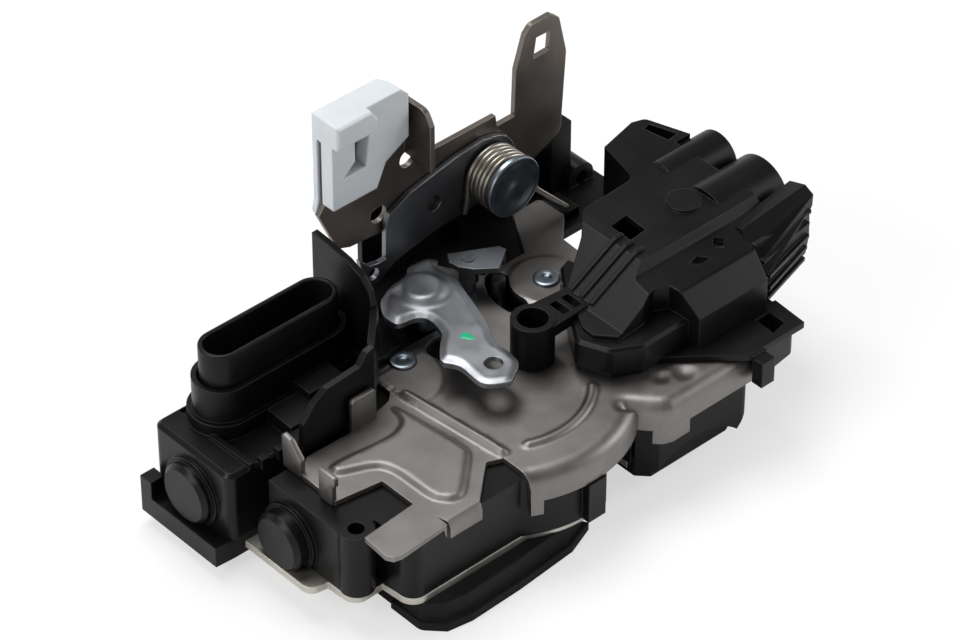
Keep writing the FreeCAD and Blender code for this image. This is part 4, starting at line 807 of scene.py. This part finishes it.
def table():
    """White table that still takes the latch's shadow."""
    low = cad_box[0][2] - 0.1 * MM
    reach = 3.0
    corners = [(-reach, -reach, low), (reach, -reach, low), (reach, reach, low), (-reach, reach, low)]
    mesh = bpy.data.meshes.new("table_top")
    mesh.from_pydata(corners, [], [(0, 1, 2, 3)])
    top = bpy.data.objects.new("table_top", mesh)
    bpy.context.collection.objects.link(top)
    # A smooth coated board: even and matte, so only the shadow shows on it.
    material, shader, _ = start("white_coated_board")
    shader.inputs["Base Color"].default_value = linear("#f2f2f2")
    shader.inputs["Roughness"].default_value = 0.95
    glow = add(material, "ShaderNodeEmission", {"Color": (1.0, 1.0, 1.0, 1.0), "Strength": 1.0})
    path = add(material, "ShaderNodeLightPath")
    seen = add(material, "ShaderNodeMath", {"operation": "MULTIPLY", 1: TABLE_LIFT},
               {0: path.outputs["Is Camera Ray"]})
    mix = add(material, "ShaderNodeMixShader",
              links={0: seen.outputs[0], 1: shader.outputs[0], 2: glow.outputs[0]})
    wire(material, material.node_tree.nodes["Material Output"], {"Surface": mix.outputs[0]})
    mesh.materials.append(material)


def room():
    """The camera sees plain white. Mirrored rays see white walls under a dimmer ceiling, so the lamps'
    panels stand out in the plastic and the metal."""
    world = bpy.data.worlds.new("white_room")
    world.use_nodes = True
    bpy.context.scene.world = world
    toward = add(world, "ShaderNodeTexCoord").outputs["Generated"]
    upward = add(world, "ShaderNodeSeparateXYZ", links={0: toward}).outputs["Z"]
    walls = add(world, "ShaderNodeMapRange", {1: 0.12, 2: 0.5, 3: 1.0, 4: CEILING}, {0: upward}).outputs[0]
    path = add(world, "ShaderNodeLightPath")
    mirrored = add(world, "ShaderNodeMath", {"operation": "MAXIMUM"},
                   {0: path.outputs["Is Glossy Ray"], 1: path.outputs["Is Transmission Ray"]}).outputs[0]
    strength = add(world, "ShaderNodeMix", {2: ROOM_FILL}, {0: mirrored, 3: walls}).outputs[0]
    shown = add(world, "ShaderNodeMix", {3: 1.0},
                {0: path.outputs["Is Camera Ray"], 2: strength}).outputs[0]
    background = world.node_tree.nodes["Background"]
    background.inputs["Color"].default_value = (1.0, 1.0, 1.0, 1.0)
    wire(world, background, {"Strength": shown})


def softbox(name, place, size, power):
    """A square lamp that looks at the middle of the latch."""
    middle = Vector((0.055, 0.02, 0.02))
    light = bpy.data.lights.new(name, "AREA")
    light.shape = "SQUARE"
    light.size = size
    light.energy = power
    lamp = bpy.data.objects.new(name, light)
    bpy.context.collection.objects.link(lamp)
    lamp.location = place
    lamp.rotation_euler = (middle - Vector(place)).to_track_quat("-Z", "Y").to_euler()


def camera():
    """Looks at the latch from the photograph's side and height."""
    azimuth, elevation, distance = math.radians(-42.2), math.radians(39.4), 1.093
    aim = at(25.33, -0.38, 30.0)
    toward = Vector((math.sin(azimuth) * math.cos(elevation), -math.cos(azimuth) * math.cos(elevation),
                     math.sin(elevation)))
    data = bpy.data.cameras.new("product_camera")
    data.lens = 164.0
    data.sensor_width = 36.0
    view = bpy.data.objects.new("product_camera", data)
    bpy.context.collection.objects.link(view)
    view.location = aim + toward * distance
    view.rotation_euler = (aim - view.location).to_track_quat("-Z", "Y").to_euler()
    bpy.context.scene.camera = view


dress_solids()
lever_pin()
rivet("claw_rivet_spun", "claw_pivot", 0.0)
rivet("pawl_rivet_spun", "pawl_pivot", PAWL_X)
handle_spring()
plug_shroud()
release_lever()
back_plate()
plate_tabs()
paint_dab("paint_dab_lever", (10.7, -11.8, 39.78), 1.3, 1.9, 0.4, "release_lever_body")
paint_dab("paint_dab_cover", (78.6, -20.6, 49.98), 1.2, 1.5, 1.1, "latch_body")

table()
room()
softbox("top_softbox", (0.1, 0.35, 0.95), 0.55, 7.0)
softbox("left_softbox", (-0.75, 0.1, 0.6), 0.45, 4.0)
softbox("right_softbox", (0.85, -0.45, 0.45), 0.4, 3.0)
camera()
bpy.context.scene.view_settings.view_transform = "Standard"
